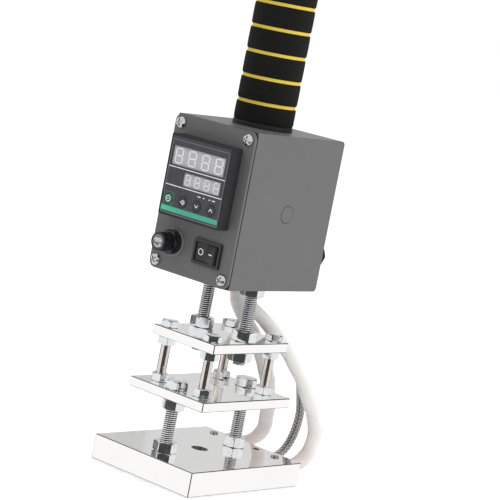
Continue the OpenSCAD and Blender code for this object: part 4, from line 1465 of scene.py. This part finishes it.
@dataclass
class Leads:
    """Two sleeved heater leads and the probe's twin braided cable, held at both ends."""

    sleeve_half_wide: float = 4.6
    sleeve_half_thin: float = 2.7
    sleeve_end: float = 3.95
    strand_r: float = 1.5
    strand_gap: float = 0.3
    strand_columns: int = 41
    carriers: int = 8
    plait_turns: float = 60.0
    plait_depth: float = 0.14
    left: Array = field(default_factory=lambda: np.array([
        [-22.5, 32, 125], [-22.5, 32, 115], [-22, 34, 104], [-20, 37, 97], [-13, 40, 88],
        [-7, 44, 78], [-4, 47, 70], [-1, 51, 60], [0, 55, 49], [-1, 59, 37], [-4, 63, 26],
        [-9, 66, 18], [-16, 65, 12], [-22, 61, 9], [-25.5, 54, 7.5], [-25.5, 52, 7.5]], float))
    right: Array = field(default_factory=lambda: np.array([
        [-5, 15.5, 125], [-5, 15.5, 116], [-4, 18.5, 108], [0, 25.5, 101.5], [7, 33.5, 94],
        [13, 45, 82], [18, 52, 72], [24, 58, 60], [27, 62, 51], [30, 66, 42], [32, 68, 31],
        [32, 67, 22], [30, 63, 13], [27, 59, 9], [25.5, 54, 7.5], [25.5, 52, 7.5]], float))
    probe: Array = field(default_factory=lambda: np.array([
        [-13, 24.5, 125], [-13, 24.5, 117], [-11.5, 28, 109], [-6.5, 34.5, 101.5],
        [0.5, 41.5, 93.5], [7.5, 50.5, 82], [12.5, 58, 72], [15.5, 64, 60], [16.5, 67.5, 48],
        [17, 69, 37], [15, 69, 24], [13, 65, 14], [10, 59, 9], [9, 54, 7.5], [9, 52, 7.5]], float))

    def build(self) -> None:
        """Builds the sleeves and the probe cable."""
        for name, route, seed in (("heater_sleeve_left", self.left, 1.3),
                                  ("heater_sleeve_right", self.right, 4.1)):
            tube = Piece(f"{name}.braided").add(self.sleeve(route, seed))
            tube.place(SLEEVING, "root", "glass_sleeve", (name,))
        self.cable()

    def sleeve(self, route: Array, seed: float) -> Array:
        """Sleeve carried along its route: round at both ends, pressed flat between them.

        The section is an ellipse whose halves pass from sleeve_end to wide and thin
        over the first and last eighth; low sine ripples along it make the soft creases.

        Args:
            route: points of its middle.
            seed: phase of the ripples.

        Returns:
            Closed grid of points.
        """
        path = smooth_path(route, 260)
        _, side, up = frames_along(path, np.array([0.77, 0.64, 0.0]))
        s = np.linspace(0, 1, len(path))[:, None]
        flat = np.clip(np.minimum(s, 1 - s) / 0.12, 0, 1)
        flat = flat * flat * (3 - 2 * flat)
        angle = np.linspace(0, TURN, 49)[None]
        ripple = (0.05 * np.sin(31 * s + seed) * np.sin(2 * angle + 9 * s)
                  + 0.035 * np.sin(57 * s + 2 * seed + angle))
        crease = 0.16 * flat * np.cos(angle) ** 8
        wide = self.sleeve_end + (self.sleeve_half_wide - self.sleeve_end) * flat
        thin = self.sleeve_end + (self.sleeve_half_thin - self.sleeve_end) * flat
        a = wide * (1 + ripple * flat) * np.cos(angle)
        b = thin * (1 + ripple * flat - crease) * np.sin(angle)
        tube = path[:, None] + a[..., None] * side[:, None] + b[..., None] * up[:, None]
        return closed_ends(tube, path)

    def cable(self) -> None:
        """Twin strands; a rounded plait of crossed helices stands on each."""
        piece, tones = Piece("probe_cable.braided"), []
        for shift in (-1, 1):
            route = self.probe + [shift * (self.strand_r + self.strand_gap / 2), 0, 0]
            path = smooth_path(route, 900)
            _, side, up = frames_along(path, np.array([1.0, 0.0, 0.0]))
            run = np.linspace(0, 1, len(path))[:, None] * self.plait_turns
            angle = np.linspace(0, TURN, self.strand_columns)[None]
            one = np.sin(self.carriers / 2 * angle + TURN * run)
            two = np.sin(self.carriers / 2 * angle - TURN * run)
            plait = np.clip(np.maximum(one, two), -0.2, 1) / 1.2 + 0.17
            radius = (self.strand_r - self.plait_depth * (1 - plait))[..., None]
            c, s = np.cos(angle)[..., None], np.sin(angle)[..., None]
            ring = radius * (c * side[:, None] + s * up[:, None])
            piece.add(closed_ends(path[:, None] + ring, path))
            tip = np.zeros(self.strand_columns)
            # The plait's height goes along as tone; the braid finish paints its valleys dark as shade.
            tones.append(np.concatenate([tip, plait.ravel(), tip]))
        piece.place(WIRE_BRAID, "root", "steel_braid", ("probe_lead",), np.concatenate(tones))


def closed_ends(tube: Array, path: Array) -> Array:
    """A tube's grid with both ends drawn in to the path's end points."""
    first = np.repeat(path[:1, None], tube.shape[1], 1)
    last = np.repeat(path[-1:, None], tube.shape[1], 1)
    return np.concatenate([first, tube, last])


def paint(obj: bpy.types.Object, finish: Finish) -> None:
    """Gives a CAD node that stays as it is its finish."""
    obj.data.materials.clear()
    obj.data.materials.append(finish.material())


KEPT_NODES: dict[str, Finish] = {
    "heater_left": SHEATH,
    "heater_right": SHEATH,
    "probe_tip": SHEATH,
    "heater_set_screws": GRUB,
    "panel_rivet_nuts": ZINC,
    "controller_case": CASE,
    "controller_overlay": OVERLAY,
    "controller_board": BOARD,
    "key_switches": CASE,
    "controller_terminals": CASE,
    "controller_clamp": CASE,
    "fuse_holder_nut": GLOSS,
    "switch_terminals": BRASS,
    "grip_core": CORE,
    "grip_bolt": ZINC,
    "grip_washer": ZINC,
    "terminal_strip": WHITE_PLASTIC,
    "lead_grommets": RUBBER,
    "gland_seal": RUBBER,
    "gland_lock_nut": CASE,
}


def dress_kept_nodes(frame: dict) -> None:
    """Finishes for the CAD nodes whose own shape stays, and eased edges on the cable gland."""
    for node, finish in KEPT_NODES.items():
        paint(frame["nodes"][node], finish)
    for node in ("gland_body", "gland_cap_nut"):
        eased(frame, node, CASE, width=0.3)


@dataclass
class Studio:
    """Pale floor, soft light, the cards that bright metal mirrors, and the camera."""

    eye: tuple[float, float, float] = (790.4, -944.9, 307.6)
    azimuth: float = 39.59
    elevation: float = 7.75
    roll: float = 11.06
    lens: float = 149.72
    sensor: float = 36.0
    floor_radius: float = 6000.0
    floor_drop: float = 0.4
    glow: float = 1.0
    floor_glow: float = 0.2
    look_at: tuple[float, float, float] = (0.0, 0.0, 150.0)
    card_points: int = 25

    def build(self) -> None:
        """Builds floor, world, cards, lights and camera."""
        bpy.context.scene.view_settings.view_transform = "Standard"
        self.floor()
        self.world()
        for name, turn, radius, heights, tone in (
            ("front_flag", (2, 78), 300, (-70, 120), 0.04),
            ("left_flag", (-104, -72), 300, (-70, 120), 0.12),
            ("back_left_flag", (226, 264), 420, (-40, 240), 0.5),
            ("back_flag", (176, 226), 420, (-40, 240), 0.58),
            ("high_left_flag", (-130, -78), 400, (320, 620), 0.0),
            ("high_back_flag", (140, 200), 400, (250, 480), 0.0),
        ):
            self.flag(name, turn, radius, heights, tone)
        self.flag("panel_shade", (-60, 18), 360, (90, 460), 0.2, metal_only=False)
        self.light("key", (-900, -1500, 1500), 1100, 8.5)
        self.light("side", (1500, 300, 700), 900, 6.5)
        self.light("top", (200, 400, 1900), 1300, 4.5)
        self.camera()

    def flag(self, name: str, turn: tuple[float, float], radius: float, heights: tuple[float, float],
             tone: float, metal_only: bool = True) -> None:
        """Curved upright card that gives bright metal dark streaks, or takes light off a matt side.

        Args:
            name: the card's name.
            turn: from and to azimuth in degrees.
            radius: its distance from the object's axis.
            heights: its lower and upper edge.
            tone: how light it is.
            metal_only: whether it shows in reflections alone, or in diffuse light alone.
        """
        angle = np.radians(np.linspace(*turn, self.card_points))
        row = np.stack([np.sin(angle) * radius, -np.cos(angle) * radius, 0 * angle], -1)
        card = self.sheet(name, np.stack([row + [0, 0, z] for z in heights]))
        paint(card, Ink(f"{name}_cloth", (tone, tone, tone)))
        card.visible_camera = card.visible_shadow = card.visible_transmission = False
        card.visible_glossy, card.visible_diffuse = metal_only, not metal_only

    def sheet(self, name: str, grid: Array) -> bpy.types.Object:
        """A sheet of the studio's own, not part of the object.

        Args:
            name: the sheet's name.
            grid: its points, rows by columns, in millimetres.

        Returns:
            The new object.
        """
        mesh = bpy.data.meshes.new(name)
        quads = grid_quads(*grid.shape[:2])
        mesh.from_pydata((grid.reshape(-1, 3) * MM).tolist(), [], quads.tolist())
        obj = bpy.data.objects.new(name, mesh)
        bpy.context.scene.collection.objects.link(obj)
        return obj

    def floor(self) -> None:
        """Round pale floor just under the object, drawn from its rim inwards so that it faces up."""
        rim, middle = (self.floor_radius, -self.floor_drop), (0.0, -self.floor_drop)
        floor = self.sheet("floor", revolve(np.array([rim, middle]), 96))
        close_up(floor.data, turn_out=False)
        paint(floor, PALE_FLOOR)
        glow = floor.data.materials[0].node_tree.nodes["Principled BSDF"].inputs
        glow["Emission Color"].default_value = (1.0, 1.0, 1.0, 1.0)
        glow["Emission Strength"].default_value = self.floor_glow
        floor.visible_glossy = False

    def world(self) -> None:
        """Plain white surroundings."""
        world = bpy.data.worlds.new("studio")
        bpy.context.scene.world = world
        world.use_nodes = True
        background = world.node_tree.nodes["Background"]
        background.inputs["Color"].default_value = (1.0, 1.0, 1.0, 1.0)
        background.inputs["Strength"].default_value = self.glow

    def light(self, name: str, place: tuple[float, float, float], size: float, power: float) -> None:
        """A square area light that looks at the middle of the object and is not mirrored in it."""
        lamp = bpy.data.lights.new(name, "AREA")
        lamp.size = size * MM
        lamp.energy = power
        obj = bpy.data.objects.new(name, lamp)
        obj.visible_glossy = False
        bpy.context.scene.collection.objects.link(obj)
        away = np.array(place) - self.look_at
        away /= np.linalg.norm(away)
        side = np.cross([0, 0, 1.0], away)
        side /= np.linalg.norm(side)
        self.turn_to(obj, side, np.cross(away, side), away, np.array(place))

    def turn_to(self, obj: bpy.types.Object, right: Array, up: Array, back: Array,
                place: Array) -> None:
        """Sets an object's axes and place."""
        rows = np.column_stack([right, up, back, place * MM]).tolist()
        obj.matrix_world = Matrix([*rows, [0, 0, 0, 1]])

    def camera(self) -> None:
        """Camera turned by azimuth and elevation, then rolled about its own axis."""
        az, el, roll = (math.radians(a) for a in (self.azimuth, self.elevation, self.roll))
        back = np.array([math.sin(az) * math.cos(el), -math.cos(az) * math.cos(el), math.sin(el)])
        right = np.array([math.cos(az), math.sin(az), 0.0])
        up = np.cross(back, right)
        x = math.cos(roll) * right + math.sin(roll) * up
        y = -math.sin(roll) * right + math.cos(roll) * up
        lens = bpy.data.cameras.new("camera")
        lens.sensor_width = self.sensor
        lens.lens = self.lens
        lens.clip_start = 0.01
        obj = bpy.data.objects.new("camera", lens)
        bpy.context.scene.collection.objects.link(obj)
        self.turn_to(obj, x, y, back, np.array(self.eye))
        bpy.context.scene.camera = obj


def main() -> None:
    """Loads the frame and builds the studio and every sub-assembly on it."""
    logging.basicConfig(level=logging.INFO, format="%(name)s: %(message)s")
    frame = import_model()
    Studio().build()
    Tiers(frame).build()
    ControlBox(frame).build()
    Controller(frame).build()
    Fuse(frame).build()
    PowerSwitch(frame).build()
    Grip(frame).build()
    Leads().build()
    dress_kept_nodes(frame)


if __name__ == "__main__":
    main()
